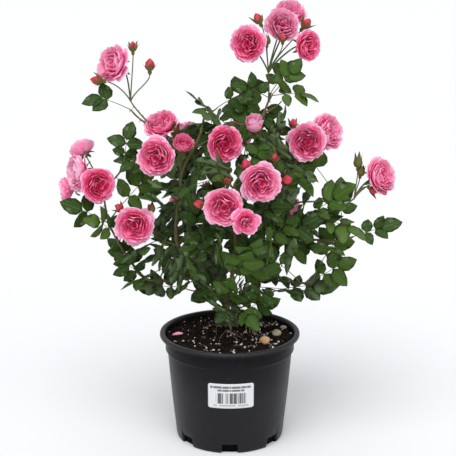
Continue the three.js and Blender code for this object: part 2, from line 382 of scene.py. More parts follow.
def leaf_finish(name, face, vein_share=0.3):
    """Green blade: a pale midrib, and side veins that are a fine wave slanting away from it."""
    f = Finish(name, roughness=0.48, Specular_IOR_Level=0.14)
    split = f.node("SeparateXYZ", Vector=f.flat())
    across = f.maths("ABSOLUTE", f.maths("SUBTRACT", split.outputs[0], 0.5))
    slant = f.maths("SUBTRACT", f.times(split.outputs[1], 9.0), f.times(across, 7.0))
    vein = f.maths("PINGPONG", slant, 0.5)
    mottled = f.noise(26, 3)
    dark = tuple(c * 0.7 for c in face)
    pale = tuple(c * 1.3 + 0.004 for c in face)
    body = f.blend(mottled, dark, pale)
    body = f.blend(f.times(f.step(vein, 0.12, 0.0), vein_share), body, pale)
    body = f.blend(f.times(f.step(across, 0.035, 0.0), 0.5), body, (0.15, 0.2, 0.05))
    f.colour(f.blend(f.times(f.step(across, 0.44, 0.5), 0.35), body, (0.14, 0.17, 0.05)))
    f.rough(mottled, 0.4, 0.58)
    f.bump(f.maths("ADD", vein, f.times(f.noise(160, 2), 0.5)), 0.25, 0.0006)
    return f.material


def petal_finish(name):
    """Pink petal: the mark tone runs from the deep pink of the heart's folds at 0 to the pale guard rims at
    1.
    The deep end is partly the petal's own colour and partly painted shade in the folds; the pale rims are
    partly the petal's own colour and partly a painted highlight.
    """
    f = Finish(name, roughness=0.62, Specular_IOR_Level=0.12, Subsurface_Weight=0.4, Subsurface_Scale=0.006)
    f.shader.subsurface_method = "BURLEY"
    f.shader.inputs["Subsurface Radius"].default_value = (1.0, 0.35, 0.5)
    streak = f.noise(1.0, 2, at=f.node("Mapping", Vector=f.flat(), Scale=(26, 1.5, 1)).outputs[0])
    tone = f.maths("ADD", f.mark("tone"), f.times(f.maths("SUBTRACT", streak, 0.5), 0.2))
    tone = f.maths("ADD", tone, f.times(f.maths("SUBTRACT", f.noise(40, 2), 0.5), 0.18))
    f.colour(f.ramp(
        tone,
        (0.0, (0.4, 0.055, 0.045)),
        (0.12, (0.62, 0.06, 0.105)),
        (0.3, (0.93, 0.08, 0.28)),
        (0.5, (0.97, 0.19, 0.42)),
        (0.72, (0.98, 0.36, 0.58)),
        (1.0, (0.99, 0.6, 0.77)),
    ))
    f.bump(streak, 0.2, 0.0004)
    return f.material


def stem_finish(name):
    """Smooth green shoot flushed red-brown in long patches, turning to bark where the mark age is high."""
    f = Finish(name, roughness=0.5)
    young = f.blend(f.step(f.noise(16, 2), 0.42, 0.66), (0.075, 0.115, 0.02), (0.13, 0.06, 0.025))
    bark = f.blend(f.noise(120, 4), (0.04, 0.028, 0.015), (0.19, 0.13, 0.07))
    f.colour(f.blend(f.mark("age"), young, bark))
    f.bump(f.noise(260, 3), 0.3, 0.0005)
    return f.material


def grain_finish(name, low, high, scale=160, roughness=0.85, depth=0.0006, spread=(0.3, 0.7)):
    """Two tones dealt by fine noise between the two levels of spread, with a bump of finer grain."""
    f = Finish(name, roughness=roughness, Specular_IOR_Level=0.15)
    f.colour(f.blend(f.step(f.noise(scale, 5, 0.68), *spread), low, high))
    f.bump(f.noise(scale * 1.8, 4, 0.7), 0.6, depth)
    return f.material


def pot_finish(name):
    """Black moulded plastic: near black with faint scuffs and specks, greyer and shinier on the lip."""
    f = Finish(name, roughness=0.42, Specular_IOR_Level=0.22)
    high = f.node("SeparateXYZ", Vector=f.place()).outputs[2]
    scuff = f.step(f.noise(70, 6, 0.7), 0.52, 0.75)
    lip = f.times(f.step(high, 0.2, 0.217), f.noise(140, 4, 0.7))
    dust = f.step(f.noise(900, 2), 0.68, 0.74)
    body = f.blend(f.noise(9, 3), (0.005, 0.0048, 0.0062), (0.009, 0.0085, 0.0115))
    body = f.blend(f.times(scuff, 0.12), body, (0.045, 0.045, 0.048))
    body = f.blend(f.times(lip, 0.45), body, (0.06, 0.06, 0.062))
    f.colour(f.blend(f.times(dust, 0.12), body, (0.16, 0.15, 0.14)))
    f.rough(f.noise(30, 5, 0.65), 0.3, 0.46)
    # the wall is duller towards its top, and the lip shines again
    sheen = f.maths("SUBTRACT", 0.24, f.times(f.step(high, 0.11, 0.2), 0.17))
    sheen = f.maths("ADD", sheen, f.times(f.step(high, 0.212, 0.217), 0.25))
    f.feed(f.shader.inputs["Specular IOR Level"], sheen)
    f.bump(f.maths("ADD", f.noise(420, 3), f.noise(1400, 2)), 0.18, 0.0004)
    return f.material


def label_finish(name):
    """Off-white sticker with plain grey bars: two lines of uneven grey, a block of upright bars of uneven
    width, and a short broken line below. A bar is a column whose own random number is past a level."""
    f = Finish(name, roughness=0.5)
    split = f.node("SeparateXYZ", Vector=f.flat())
    u, v = split.outputs[0], split.outputs[1]

    def uneven(count, share):
        """1 or 0 for each of so many columns; share is how often 0."""
        dice = f.node("TexWhiteNoise")
        dice.noise_dimensions = "1D"
        f.feed(dice.inputs["W"], f.maths("FLOOR", f.times(u, count)))
        return f.maths("GREATER_THAN", dice.outputs["Value"], share)

    bars = f.maths("MAXIMUM", uneven(61.0, 0.42), f.times(uneven(113.0, 0.4), 0.55))
    block = f.times(f.band(u, 0.175, 0.825), f.band(v, 0.19, 0.62), bars)
    words = f.maths("MAXIMUM", f.times(f.band(u, 0.05, 0.93), f.band(v, 0.81, 0.9)),
                    f.times(f.band(u, 0.21, 0.79), f.band(v, 0.69, 0.77)))
    foot = f.times(f.band(u, 0.12, 0.88), f.band(v, 0.09, 0.14), uneven(20.0, 0.35))
    worn = f.noise(420, 2)
    paper = f.blend(worn, (0.64, 0.64, 0.65), (0.72, 0.72, 0.73))
    grey = f.maths("ADD", f.times(uneven(40.0, 0.2), 0.45), 0.45)
    ink = f.blend(f.times(words, grey), paper, (0.09, 0.09, 0.09))
    ink = f.blend(f.times(foot, 0.6), ink, (0.12, 0.12, 0.12))
    f.colour(f.blend(f.times(block, 0.9), ink, (0.04, 0.04, 0.04)))
    f.bump(worn, 0.05, 0.0002)
    return f.material


GREENS = {"deep": (0.026, 0.064, 0.008), "mid": (0.047, 0.103, 0.012), "fresh": (0.072, 0.135, 0.02)}

# ---------- the masses that the plant fills ----------

LEAFY = sorted(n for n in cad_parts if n.startswith("foliage"))
FLOWERY = sorted(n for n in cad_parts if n.startswith(("truss", "bloom")))
CANES = sorted(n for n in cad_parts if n.startswith("cane"))
BOUGHS = sorted(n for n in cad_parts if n.startswith("bough"))
CORE = [n for n in LEAFY if n.split("_")[1] in ("lower", "middle", "upper", "crown")]


def middle_of(node):
    """The middle of a node's box."""
    low, high = corners(node)
    return (low + high) / 2


def half_of(node):
    """Half of the size of a node's box, three ways."""
    low, high = corners(node)
    return (high - low) / 2


def spot(node, shares):
    """The point that lies the given shares of the way across a node's box."""
    low, high = corners(node)
    return low + (high - low) * np.asarray(shares)


MASS_MIDDLE = np.stack([middle_of(n) for n in LEAFY])
MASS_HALF = np.stack([half_of(n) for n in LEAFY])
CROWN_MIDDLE = np.array([0.005, 0.008, 0.44])


def depth_in_crown(points):
    """How far out a point lies in the nearest leafy mass: 0 at its middle, 1 on its skin, more outside."""
    return np.min(np.linalg.norm((points[..., None, :] - MASS_MIDDLE) / MASS_HALF, axis=-1), axis=-1)


# ---------- blooms and buds ----------

# node, place in its box, width, facing (azimuth and elevation), how open, how much paler
BLOOMS = [
    ("truss_top_left", (0.38, 0.57, 0.51), 0.078, (-42, 25), 1.0, 0.12),
    ("bloom_top_left", (0.50, 0.53, 0.52), 0.073, (-15, 8), 1.0, 0.0),
    ("bloom_top_middle", (0.43, 0.39, 0.42), 0.076, (5, 22), 0.8, 0.3),
    ("bloom_top_middle", (0.62, 0.78, 0.72), 0.067, (10, 50), 1.0, 0.2),
    ("bloom_top_right", (0.52, 0.54, 0.52), 0.062, (35, 0), 1.0, -0.12),
    ("bloom_upper_left", (0.50, 0.47, 0.51), 0.070, (-20, 52), 1.0, 0.02),
    ("foliage_upper_left", (0.25, 0.32, 0.84), 0.078, (-12, 5), 1.0, 0.05),
    ("foliage_crown_left", (0.21, 0.29, 0.28), 0.056, (12, 38), 0.35, -0.06),
    ("foliage_crown_left", (0.91, 0.13, 0.35), 0.074, (15, 5), 1.0, -0.06),
    ("foliage_crown_right", (0.41, 0.4, 0.74), 0.058, (5, 66), 0.22, 0.12),
    ("truss_upper_right", (0.22, 0.27, 0.38), 0.079, (0, 8), 1.0, 0.1),
    ("truss_upper_right", (0.6, 0.64, 0.55), 0.076, (45, 18), 1.0, 0.1),
    ("foliage_upper_front", (0.79, 0.43, 0.53), 0.077, (5, 0), 1.0, 0.12),
    ("foliage_upper_front", (0.38, 0.31, 0.18), 0.077, (-5, 5), 1.0, 0.1),
    ("foliage_middle_front", (0.62, 0.19, 0.95), 0.060, (12, 0), 1.3, 0.0),
    ("foliage_middle_left", (0.06, 0.22, 0.86), 0.077, (-5, 5), 1.0, 0.02),
    ("truss_far_left", (0.78, 0.22, 0.39), 0.071, (20, 5), 1.0, -0.08),
    ("truss_far_left", (0.40, 0.48, 0.54), 0.078, (-60, 5), 1.0, 0.3),
    ("truss_far_left", (0.45, 0.78, 0.84), 0.056, (-140, 40), 0.8, 0.1),
    ("truss_far_left", (0.19, 0.64, 0.23), 0.058, (-80, -10), 0.7, 0.0),
    ("truss_far_right", (0.62, 0.50, 0.53), 0.076, (42, 22), 1.0, 0.06),
    ("foliage_upper_back_left", (0.35, 0.85, 0.7), 0.076, (205, 10), 1.0, 0.05),
    ("foliage_upper_back_right", (0.5, 0.9, 0.62), 0.078, (160, 6), 1.0, 0.08),
    ("foliage_middle_back_left", (0.3, 0.88, 0.6), 0.074, (215, 4), 1.0, -0.04),
    ("foliage_middle_back_right", (0.75, 0.82, 0.75), 0.072, (140, 8), 1.0, 0.1),
    ("foliage_crown_back", (0.45, 0.95, 0.4), 0.070, (185, 15), 1.0, 0.0),
]
# node, place in its box, width, facing, how far the sepals wrap it
BUDS = [
    ("truss_top_left", (0.76, 0.57, 0.89), 0.015, (0, 85), 0.55),
    ("truss_top_left", (1.08, 0.45, 0.50), 0.018, (10, 80), 0.45),
    ("truss_top_left", (0.08, 0.45, 0.16), 0.018, (-80, 10), 0.45),
    ("bloom_top_middle", (-0.08, 0.27, 0.59), 0.017, (-60, 60), 0.55),
    ("bloom_top_middle", (0.95, 0.50, 0.45), 0.018, (60, 50), 0.55),
    ("bloom_top_middle", (0.44, 0.15, 0.14), 0.014, (0, 70), 0.45),
    ("bloom_top_middle", (0.11, 0.27, 0.05), 0.013, (-10, 80), 1.0),
    ("bloom_upper_left", (0.87, 0.34, 0.32), 0.017, (10, 50), 1.0),
    ("foliage_crown_right", (1.02, 0.51, 0.76), 0.015, (-10, 75), 0.5),
    ("foliage_upper_front", (0.63, 0.50, 0.80), 0.018, (-30, 60), 0.35),
    ("foliage_upper_right", (0.40, 0.13, 0.76), 0.014, (20, 75), 0.6),
    ("foliage_upper_right", (0.53, 0.07, 0.44), 0.018, (40, 20), 0.3),
    ("foliage_upper_front", (0.42, 0.42, 0.56), 0.014, (0, 75), 0.6),
    ("foliage_upper_front", (0.11, 0.42, 0.19), 0.016, (-80, 10), 0.35),
    ("foliage_far_left", (0.72, 0.32, 0.79), 0.015, (-40, 50), 0.5),
    ("foliage_upper_left", (0.19, 0.28, 0.09), 0.014, (10, 70), 0.9),
    ("truss_far_right", (0.12, 0.50, 0.86), 0.016, (-5, 85), 1.0),
    ("truss_far_right", (0.19, 0.50, 0.63), 0.014, (20, 70), 1.0),
    ("truss_far_right", (0.46, 0.36, 0.21), 0.016, (40, -10), 0.45),
    ("truss_far_right", (0.66, 0.43, 0.17), 0.014, (50, -40), 0.45),
    ("foliage_upper_back_left", (0.7, 0.95, 0.8), 0.016, (190, 40), 0.5),
    ("foliage_upper_back_right", (0.2, 0.95, 0.85), 0.015, (170, 60), 0.6),
    ("foliage_middle_back_left", (0.6, 0.97, 0.85), 0.016, (200, 30), 0.4),
]
# where the stems of each truss part from one another: node and place in its box
FORKS = {
    "top_right": ("foliage_top_right", (0.47, 0.5, 0.97)),
    "top_left": ("foliage_top_left", (0.5, 0.5, 0.75)),
    "far_right": ("foliage_side_right", (0.78, 0.5, 0.45)),
    "far_left": ("foliage_far_left", (0.42, 0.5, 0.96)),
}
# metres added to the cost of a mass's own limb, so that it grows late and others do not pass through it
LATE = {"foliage_side_left": 0.15, "foliage_far_right": 0.2, "foliage_drooping_right": 0.35}
# the fork that each truss hangs on
FORK_OF = {
    "truss_top_left": "top_left",
    "bloom_top_left": "top_right",
    "bloom_top_middle": "top_right",
    "bloom_top_right": "top_right",
    "truss_far_left": "far_left",
    "truss_far_right": "far_right",
}


def rosette(width, openness, pale, dice):
    """A many-petalled bloom, its foot at the origin and its face up +Z, with all petals on one grid.

    Petal i stands at i golden angles, with s from 0 in the heart to 1 at the guard petals. Its spine is a
    quadratic curve from the foot to a rim: rim radius grows as s to a power, and rim height makes a shallow
    cup that falls away at the guard petals. The middle control bulges the heart petals outward and rolls the
    guard petals back. The blade is wrapped round the axis by its half width over its radius. The heart's
    radii swell and shrink with the cosine of four or five turns, which folds it into quarters. An openness
    past 1 gives a flat bloom of few, broad petals."""
    flat = max(0.0, openness - 1) / 0.3
    openness = min(1.0, openness)
    count = int(mix(24, 44, openness) * (1 - 0.45 * flat))
    rows, cols = 7, 9
    i = np.arange(count)
    s = (i + 0.5) / count
    depth = width * mix(0.68, 0.46, openness)
    jitter = dice.uniform(-1, 1, (7, count))
    rim_r = 0.5 * width * mix(0.5, 1.0, openness) * (0.07 + 0.93 * s ** (0.62 + 0.75 * flat))
    rim_r = rim_r * (1 + mix(0.04, 0.09, s) * jitter[0])
    cup = 0.84 + 0.36 * s - 0.78 * s**3
    rim_z = depth * (mix(1 - 0.12 * s**2, cup, openness) + 0.05 * jitter[1])
    back = openness * s**2
    mid_r = rim_r * mix(1.28, 0.78, back)
    mid_z = rim_z * mix(0.42, 0.95, back)
    half = width * mix(0.13, 0.31, s**0.7) * (1 + 0.12 * jitter[2])
    turn = i * GOLDEN + 0.2 * jitter[3]
    quarters = int(dice.integers(4, 6))
    fold = 0.26 * np.clip((s - 0.02) / 0.08, 0, 1) * np.clip((0.42 - s) / 0.2, 0, 1) * openness

    a = np.linspace(-1, 1, cols)[None, None, :]
    t = np.linspace(0, 1, rows)[None, :, None] ** 0.85

    def petal(values):
        """One value for each petal, spread over its grid."""
        return values[:, None, None]

    notch = 0.045 * petal(s) * np.exp(-((a / 0.25) ** 2)) * petal(1 + jitter[5])
    reach = t * (1 - mix(0.1, 0.2, petal(s)) * a**2 - notch)
    bow = 2 * reach * (1 - reach)
    radius = (1 - reach) ** 2 * 0.025 * width + bow * petal(mid_r) + reach**2 * petal(rim_r)
    height = bow * petal(mid_z) + reach**2 * petal(rim_z)
    blade = (0.3 + 0.7 * t**0.7) * np.sqrt(1 - 0.6 * np.clip((t - 0.6) / 0.4, 0, 1) ** 2)
    wrap = np.clip(petal(half) * blade / np.maximum(radius, 0.02 * width), 0, 1.5)
    angle = petal(turn) + a * wrap
    radius = radius * (1 + petal(fold) * np.cos(quarters * angle + 3 * petal(s)) * t**2)
    radius = radius * (1 + mix(0.1, 0.05, petal(s)) * a * t)
    ruffle = width * 0.013 * t**3 * np.sin(2.6 * math.pi * a + 6 * petal(jitter[4])) * mix(0.3, 1, petal(s))
    radius = radius + ruffle + 0.02 * width * petal(s) * t**6
    height = height + ruffle - 0.06 * width * petal(back) * a**2 * t**2
    height = height + 0.04 * width * petal(jitter[6]) * t * a
    points = round_rings(radius, angle, height)
    # tone: deeper pink at the feet of the petals and in the heart, paler at the rims and side edges; partly
    # the rose's own colour, partly painted shade in the folds and a painted highlight along the rims
    rim = np.clip((t - 0.7) / 0.3, 0, 1) ** 1.5
    tone = mix(0.36, 0.5, petal(s) ** 1.1) + mix(0.5, 0.4, petal(s)) * rim + 0.14 * petal(s) * t
    tone = tone + 0.1 * a**2 * t * petal(s) + pale * (0.5 + 0.5 * t) + 0.07 * petal(jitter[0])
    tone = np.broadcast_to(tone, points.shape[:-1])
    uv = np.stack(np.broadcast_arrays(a * 0.5 + 0.5 + petal(i * 1.7), t, petal(s))[:2], -1)
    quads = grid_faces(rows, cols) + offsets(count, rows * cols)
    heart = bud_body(width * 0.13, dice)
    heart["marks"]["tone"] = heart["marks"]["tone"] * 0.5 + 0.37
    heart = {**heart, "points": heart["points"] * [1, 1, 0.62]}
    return joined([shape(points, quads, None, uv, tone=tone.ravel()), heart])


def bud_body(width, dice):
    """A pointed bud: a turned shape whose radius is a sine of its height, with a shallow spiral groove."""
    t = np.linspace(0, 1, 9)[:, None]
    turn = turns(12)
    groove = np.cos(3 * turn - 7 * t)
    r = np.maximum(0.5 * width * np.sin(math.pi * t**0.85) ** 0.75 * (1 + 0.1 * groove), 0.0002)
    # darker in the spiral groove and lighter on its ridges: painted shade; paler towards the tip
    tone = 0.1 * t + 0.08 * groove + dice.uniform(-0.04, 0.04)
    rings = round_rings(r, turn, t * width * 1.45)
    return lathe(rings, [0, 0, 0], [0, 0, width * 1.46], tone=(tone, 0.0, 0.2))


def calyx(width, openness, wrap, dice):
    """The green hip and its five sepals. The hip is a turned urn below the origin. A sepal is a lance whose
    half width is a sine of its length; it climbs round a bud, or curls back under an open bloom. An openness
    of 0 means a bud."""
    hip = 0.0042 if openness > 0 else width * 0.24
    t = np.linspace(0, 1, 6)[:, None]
    turn = turns(9)
    r = hip * (0.25 + 0.75 * np.sin(math.pi * (0.08 + 0.72 * t)) ** 1.3)
    urn = lathe(round_rings(r, turn, (t - 1) * hip * 2.2 + hip * 0.5), [0, 0, -hip * 1.8], [0, 0, hip * 0.7])
    sepals, rows, cols = 5, 7, 3
    t = np.linspace(0, 1, rows)[None, :, None]
    a = np.array([-1.0, 0, 1])[None, None]
    stand = (np.arange(sepals) * 2 * math.pi / sepals + dice.uniform(0, 6))[:, None, None]
    if openness > 0:
        length = mix(0.017, 0.022, openness)
        out = 0.0035 + length * 0.8 * np.sin(1.5 * t) * mix(0.8, 1, openness)
        high = 0.002 + length * (mix(0.35, 0.0, openness) * t - mix(0.1, 0.55, openness) * t**2)
        high = high + dice.uniform(-0.3, 0.3, (sepals, 1, 1)) * length * t
        wide = 0.0034 * np.sin(math.pi * (0.2 + 0.78 * t)) ** 0.9
    else:
        flick = dice.uniform(0.2, 1.6, (sepals, 1, 1)) * np.clip((t - 0.6) / 0.4, 0, 1) ** 2
        climb = np.clip(t * wrap, 0, 0.98)
        out = 0.5 * width * np.sin(math.pi * climb**0.85) ** 0.75 * 1.08 + 0.0005 + 0.3 * width * flick
        high = t * wrap * width * 1.5 + 0.35 * width * flick
        wide = mix(0.4, 0.46, wrap) * width * np.sin(math.pi * (0.22 + 0.76 * t)) ** 0.9
    angle = stand + a * np.clip(wide / np.maximum(out, 0.0015), 0, 0.72)
    quads = grid_faces(rows, cols) + offsets(sepals, rows * cols)
    return joined([urn, shape(round_rings(out, angle, high), quads)])


def face_axes(facing, spin):
    """Two axes square to the facing direction, turned about it by spin."""
    side = unit(np.cross(facing, UP + 0.001))
    other = np.cross(facing, side)
    return side * math.cos(spin) + other * math.sin(spin), other * math.cos(spin) - side * math.sin(spin)


WHOLE_TURN = 6.3  # a random angle is drawn from 0 to just past one turn
BLOOM_STALK, BUD_STALK = 0.00145, 0.0011  # radius of a stalk at its flower
petal_parts, bud_parts, green_parts = [], [], []
flowers = []  # for each stalk: where it ends, the flower's facing, its mass and the stalk's radius
bloom_room = []  # for each bloom: its middle, the radius it fills and its facing
for node, shares, width, (azimuth, elevation), openness, pale in BLOOMS:
    face = heading(azimuth, elevation)
    middle = spot(node, shares)
    foot = middle - face * width * 0.26
    one, two = face_axes(face, rng.uniform(0, WHOLE_TURN))
    petal_parts.append(placed(rosette(width, openness, pale, rng), foot, one, two, face))
    green_parts.append(placed(calyx(width, min(1, openness), 1.0, rng), foot, one, two, face))
    bloom_room.append((middle, width * mix(0.36, 0.5, min(1, openness)), face))
    flowers.append((foot - face * 0.007, face, node, BLOOM_STALK))
for node, shares, width, (azimuth, elevation), wrap in BUDS:
    face = heading(azimuth, elevation)
    foot = spot(node, shares) - face * width * 0.7
    one, two = face_axes(face, rng.uniform(0, WHOLE_TURN))
    bud_parts.append(placed(bud_body(width, rng), foot, one, two, face))
    green_parts.append(placed(calyx(width, 0.0, wrap, rng), foot, one, two, face))
    flowers.append((foot - face * width * 0.4, face, node, BUD_STALK))
bloom_middles, bloom_radii, bloom_faces = (np.array(column) for column in zip(*bloom_room))


def blocked(points, margin):
    """True for points inside a bloom or the margin round it, or in the space up to 90 mm before its face."""
    gap = points[..., None, :] - bloom_middles
    ahead = np.sum(gap * bloom_faces, -1)
    beside = np.sqrt(np.maximum(np.sum(gap**2, -1) - ahead**2, 0))
    inside = np.linalg.norm(gap, axis=-1) < bloom_radii + margin
    facing = (ahead > 0) & (ahead < 0.09) & (beside < bloom_radii * 0.9 + margin * 0.5)
    return np.any(inside | facing, axis=-1)


# ---------- the branching of the bush ----------

foot_low, foot_high = corners("stem_foot")
FOOT = (foot_low + foot_high) / 2


def cane_ends(node):
    """The middles of a cane's lowest and highest rings of corners."""
    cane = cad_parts[node]
    at = np.empty(len(cane.data.vertices) * 3)
    cane.data.vertices.foreach_get("co", at)
    matrix = np.array(cane.matrix_world)
    at = at.reshape(-1, 3) @ matrix[:3, :3].T + matrix[:3, 3]
    high = at[:, 2]
    return at[high < high.min() + 0.001].mean(0), at[high > high.max() - 0.004].mean(0)


class Limbs:
    """The growing skeleton: paths, how many others each one carries, and every station that can branch."""

    def __init__(self):
        self.paths, self.loads, self.parents = [], [], []
        self.points, self.ways, self.lengths, self.owners = [], [], [], []

    def grow(self, path, parent, begun):
        """Adds a path that leaves limb number parent at begun metres from the foot. Its outer seven tenths
        can branch, and each limb below it carries one more."""
        way = unit(np.gradient(path, axis=0))
        run = np.concatenate([[0], np.linalg.norm(np.diff(path, axis=0), axis=1).cumsum()])
        keep = run > run[-1] * 0.3
        self.paths.append(path)
        self.parents.append(parent)
        self.loads.append(1)
        self.points.extend(path[keep])
        self.ways.extend(way[keep])
        self.lengths.extend(run[keep] + begun)
        self.owners.extend([len(self.paths) - 1] * int(keep.sum()))
        while parent is not None:
            self.loads[parent] += 1
            parent = self.parents[parent]

    def stations(self):
        """The points that can branch: place, direction, way back to the foot, and number of the limb."""
        return np.array(self.points), np.array(self.ways), np.array(self.lengths), np.array(self.owners)


limbs = Limbs()
RINGS, SHOOT_RINGS = 12, 8  # points along a limb and along a shoot
climb = np.linspace(0, 1, RINGS)[:, None]
targets = {n: middle_of(n) for n in LEAFY}
for node in CANES:
    seat, top = cane_ends(node)
    goal = min(targets, key=lambda n: np.linalg.norm((middle_of(n) - top) / half_of(n)))
    goal = targets.pop(goal)
    path = np.concatenate([mix(seat[:2], goal[:2], climb**1.5), mix(seat[2], goal[2], climb)], 1)
    limbs.grow(path, None, 0.0)
forks = {name: spot(*place) for name, place in FORKS.items()}
limb_ends = {}
targets.update(forks)
while targets:
    # the cheapest target next: near to a limb, near to the foot, and not downhill
    points, ways, lengths, owners = limbs.stations()
    offers = []
    for name, goal in targets.items():
        gap = np.linalg.norm(points - goal, axis=1)
        rise = 0.05 if name in forks else 0.015
        cost = gap + 0.3 * lengths + 2.5 * np.clip(points[:, 2] - goal[2] + rise, 0, None)
        offers.append((cost.min() + LATE.get(name, 0.0), name, int(np.argmin(cost)), gap[np.argmin(cost)]))
    _, name, k, gap = min(offers)
    goal = targets.pop(name)
    straight = unit(goal - points[k])
    leave = unit(mix(ways[k], straight, 0.5) + 0.2 * UP) * gap
    arrive = unit(straight + 0.35 * UP) * gap
    limbs.grow(arcs(points[k], goal, leave, arrive, RINGS)[0], owners[k], lengths[k])
    limb_ends[name] = len(limbs.points) - 1
limb_count = len(limbs.paths)


def spread_ways(count):
    """Evenly spread directions: level steps in height, turned by the golden angle."""
    order = np.arange(count) + 0.5
    z = 1 - 2 * order / count
    spin = order * GOLDEN + rng.uniform(0, WHOLE_TURN)
    return np.stack([np.sqrt(1 - z * z) * np.cos(spin), np.sqrt(1 - z * z) * np.sin(spin), z], 1)


LEAF_SEED = 12  # the shoots and leaves draw from a dice of their own
# how full of leaves some masses are, against 1 for the others
FULLNESS = {
    "foliage_top_right": 2.2, "foliage_top_middle": 2.4, "foliage_top_left": 0.35, "foliage_far_left": 0.7,
    "foliage_side_left": 0.55, "foliage_drooping_left": 0.6, "foliage_lower_front": 0.85,
    "foliage_lower_left": 0.6, "foliage_lower_right": 0.6, "foliage_skirt": 1.3, "foliage_upper_left": 0.85,
}
# side shoots: from the limb nearest to each mass's middle out towards evenly spread places in it
rng = np.random.default_rng(LEAF_SEED)
shoot_paths = []
for node in LEAFY:
    count = 5 if node in CORE else 3 if FULLNESS.get(node, 1.0) > 0.6 else 2
    goals = middle_of(node) + spread_ways(count) * half_of(node) * rng.uniform(0.45, 0.7, (count, 1))
    points, ways, lengths, owners = limbs.stations()
    for goal in goals:
        gap = np.linalg.norm(points - goal, axis=1)
        k = int(np.argmin(gap + 2 * np.clip(points[:, 2] - goal[2] + 0.02, 0, None)))
        straight = unit(goal - points[k])
        leave, arrive = unit(mix(ways[k], straight, 0.6)), unit(straight + 0.4 * UP)
        path = arcs(points[k], goal, leave * gap[k] * 0.9, arrive * gap[k] * 0.7, SHOOT_RINGS)[0]
        shoot_paths.append((node, path, owners[k], lengths[k]))
# the limb of an outlying spray ends in a leaf, as its shoots do
shoot_tips = {node: [end] for node, end in limb_ends.items() if node in LEAFY and node not in CORE}
for node, path, owner, begun in shoot_paths:
    limbs.grow(path, owner, begun)
    shoot_tips.setdefault(node, []).append(len(limbs.points) - 1)
points, ways, lengths, owners = limbs.stations()

# ---------- leaves ----------


def leaflet(fold, droop, wave):
    """One toothed leaflet, 1 long along +X, lying in XY with its face up: a thin closed blade.

    Half width is t^0.55 (1-t)^0.85. The blade folds up from the midrib as a V, droops with the square of its
    length, and its edge waves a little. The underside joins the two edges through a lower middle line."""
    rings = 6
    t = np.linspace(0, 1, rings + 2)[1:-1][:, None]
    a = np.array([-1, -0.5, 0, 0.5, 1.0])[None]
    tooth = np.where(np.arange(rings) % 2 == 0, 1.04, 0.97)[:, None]
    half = 0.345 * t**0.55 * (1 - t) ** 0.85 / 0.391 * tooth
    z = np.abs(a) * half * fold - droop * t**2 + wave * np.sin(8 * t + 2.5 * a) * np.abs(a)
    blade = np.stack(np.broadcast_arrays(t + 0.03 * np.abs(a) * (1 - t), a * half, z), -1)
    below = blade[:, 2:3] - [0, 0, 0.016]
    ends = np.array([[0, 0, 0], [1, 0, -droop]])
    points = np.concatenate([blade.reshape(-1, 3), below.reshape(-1, 3), ends])
    top_ids = np.arange(rings * 5).reshape(rings, 5)
    low_ids = np.stack([top_ids[:, 0], rings * 5 + np.arange(rings), top_ids[:, 4]], 1)
    stalk, tip = rings * 6, rings * 6 + 1

    def fan(ids, end):
        """Triangles from each step of a row of points to one end point."""
        return np.stack([np.full(ids.shape[-1] - 1, end), ids[:-1], ids[1:]], -1)

    upper = top_ids.ravel()[grid_faces(rings, 5)][:, ::-1]
    lower = low_ids.ravel()[grid_faces(rings, 3)]
    tris = [fan(top_ids[0], stalk), fan(top_ids[-1], tip)[:, ::-1]]
    tris += [fan(low_ids[0], stalk)[:, ::-1], fan(low_ids[-1], tip)]
    uv = np.stack(np.broadcast_arrays(a * 0.5 + 0.5, t), -1)
    uv = np.concatenate([uv.reshape(-1, 2), uv[:, 2], [[0.5, 0], [0.5, 1]]])
    return shape(points, np.concatenate([upper, lower]), np.concatenate(tris), uv)


TOP_QUADS, LOW_QUADS, TOP_TRIS, LOW_TRIS = 20, 10, 8, 4  # faces of a leaflet's two sides, in their order
LEAFLETS = [
    leaflet(0.26, 0.06, 0.012),
    leaflet(0.14, 0.13, 0.02),
    leaflet(0.36, 0.02, 0.014),
    leaflet(0.08, 0.2, 0.026),
    leaflet(0.2, -0.04, 0.018),
]
# leaflets along a leaf one long: two pairs and one at the end, each with its place, turn and size
PAIR_AT = np.array([0.3, 0.3, 0.52, 0.52, 0.62])
PAIR_TURN = np.radians([-70, 70, -58, 58, 0])
PAIR_SIZE = np.array([0.34, 0.34, 0.41, 0.41, 0.46])
PER_LEAF = len(PAIR_AT)
LEAF_LONG = 0.107
LEAVES_IN_CORE = 12  # whole leaves in each mass of the core, times its fullness
LEAVES_OUTSIDE = 3.2  # and in an outlying spray of SPRAY_AREA, its half width times its half height
SPRAY_AREA = 0.0021


def whole_leaves(base, along, lift, size, sag, dice):
    """Compound leaves: the stalk droops with the square of its length, and each leaflet leaves it at its own
    turn. Gives each leaflet's place, its three axes and its size."""
    along, across, above = frames_from(along, lift)
    each = (len(base), PER_LEAF)
    at = base[:, None] + along[:, None] * (PAIR_AT * size[:, None])[..., None]
    at = at - UP * (sag[:, None] * PAIR_AT**2 * size[:, None])[..., None]
    turn = PAIR_TURN + dice.normal(0, 0.14, each)
    way = along[:, None] * np.cos(turn)[..., None] + across[:, None] * np.sin(turn)[..., None]
    way = unit(way - UP * (0.12 + sag)[:, None, None] + dice.normal(0, 0.08, (*each, 3)))
    tilt = unit(above[:, None] + dice.normal(0, 0.22, (*each, 3)))
    long = PAIR_SIZE * size[:, None] * dice.uniform(0.86, 1.12, each)
    return at, way, tilt, long


def outside_box(points):
    """How far points lie outside the box of the whole solid model, or 0 inside it."""
    low, high = np.array(cad_box)
    return np.max(np.maximum(np.maximum(low - points, points - high), 0), axis=-1)


def skirt_rise(points):
    """How much higher the lowest leaves hang away from the middle: half of the distance past 42 mm."""
    return 0.5 * np.clip(np.hypot(points[..., 0], points[..., 1] * 0.7) - 0.042, 0, 0.11)


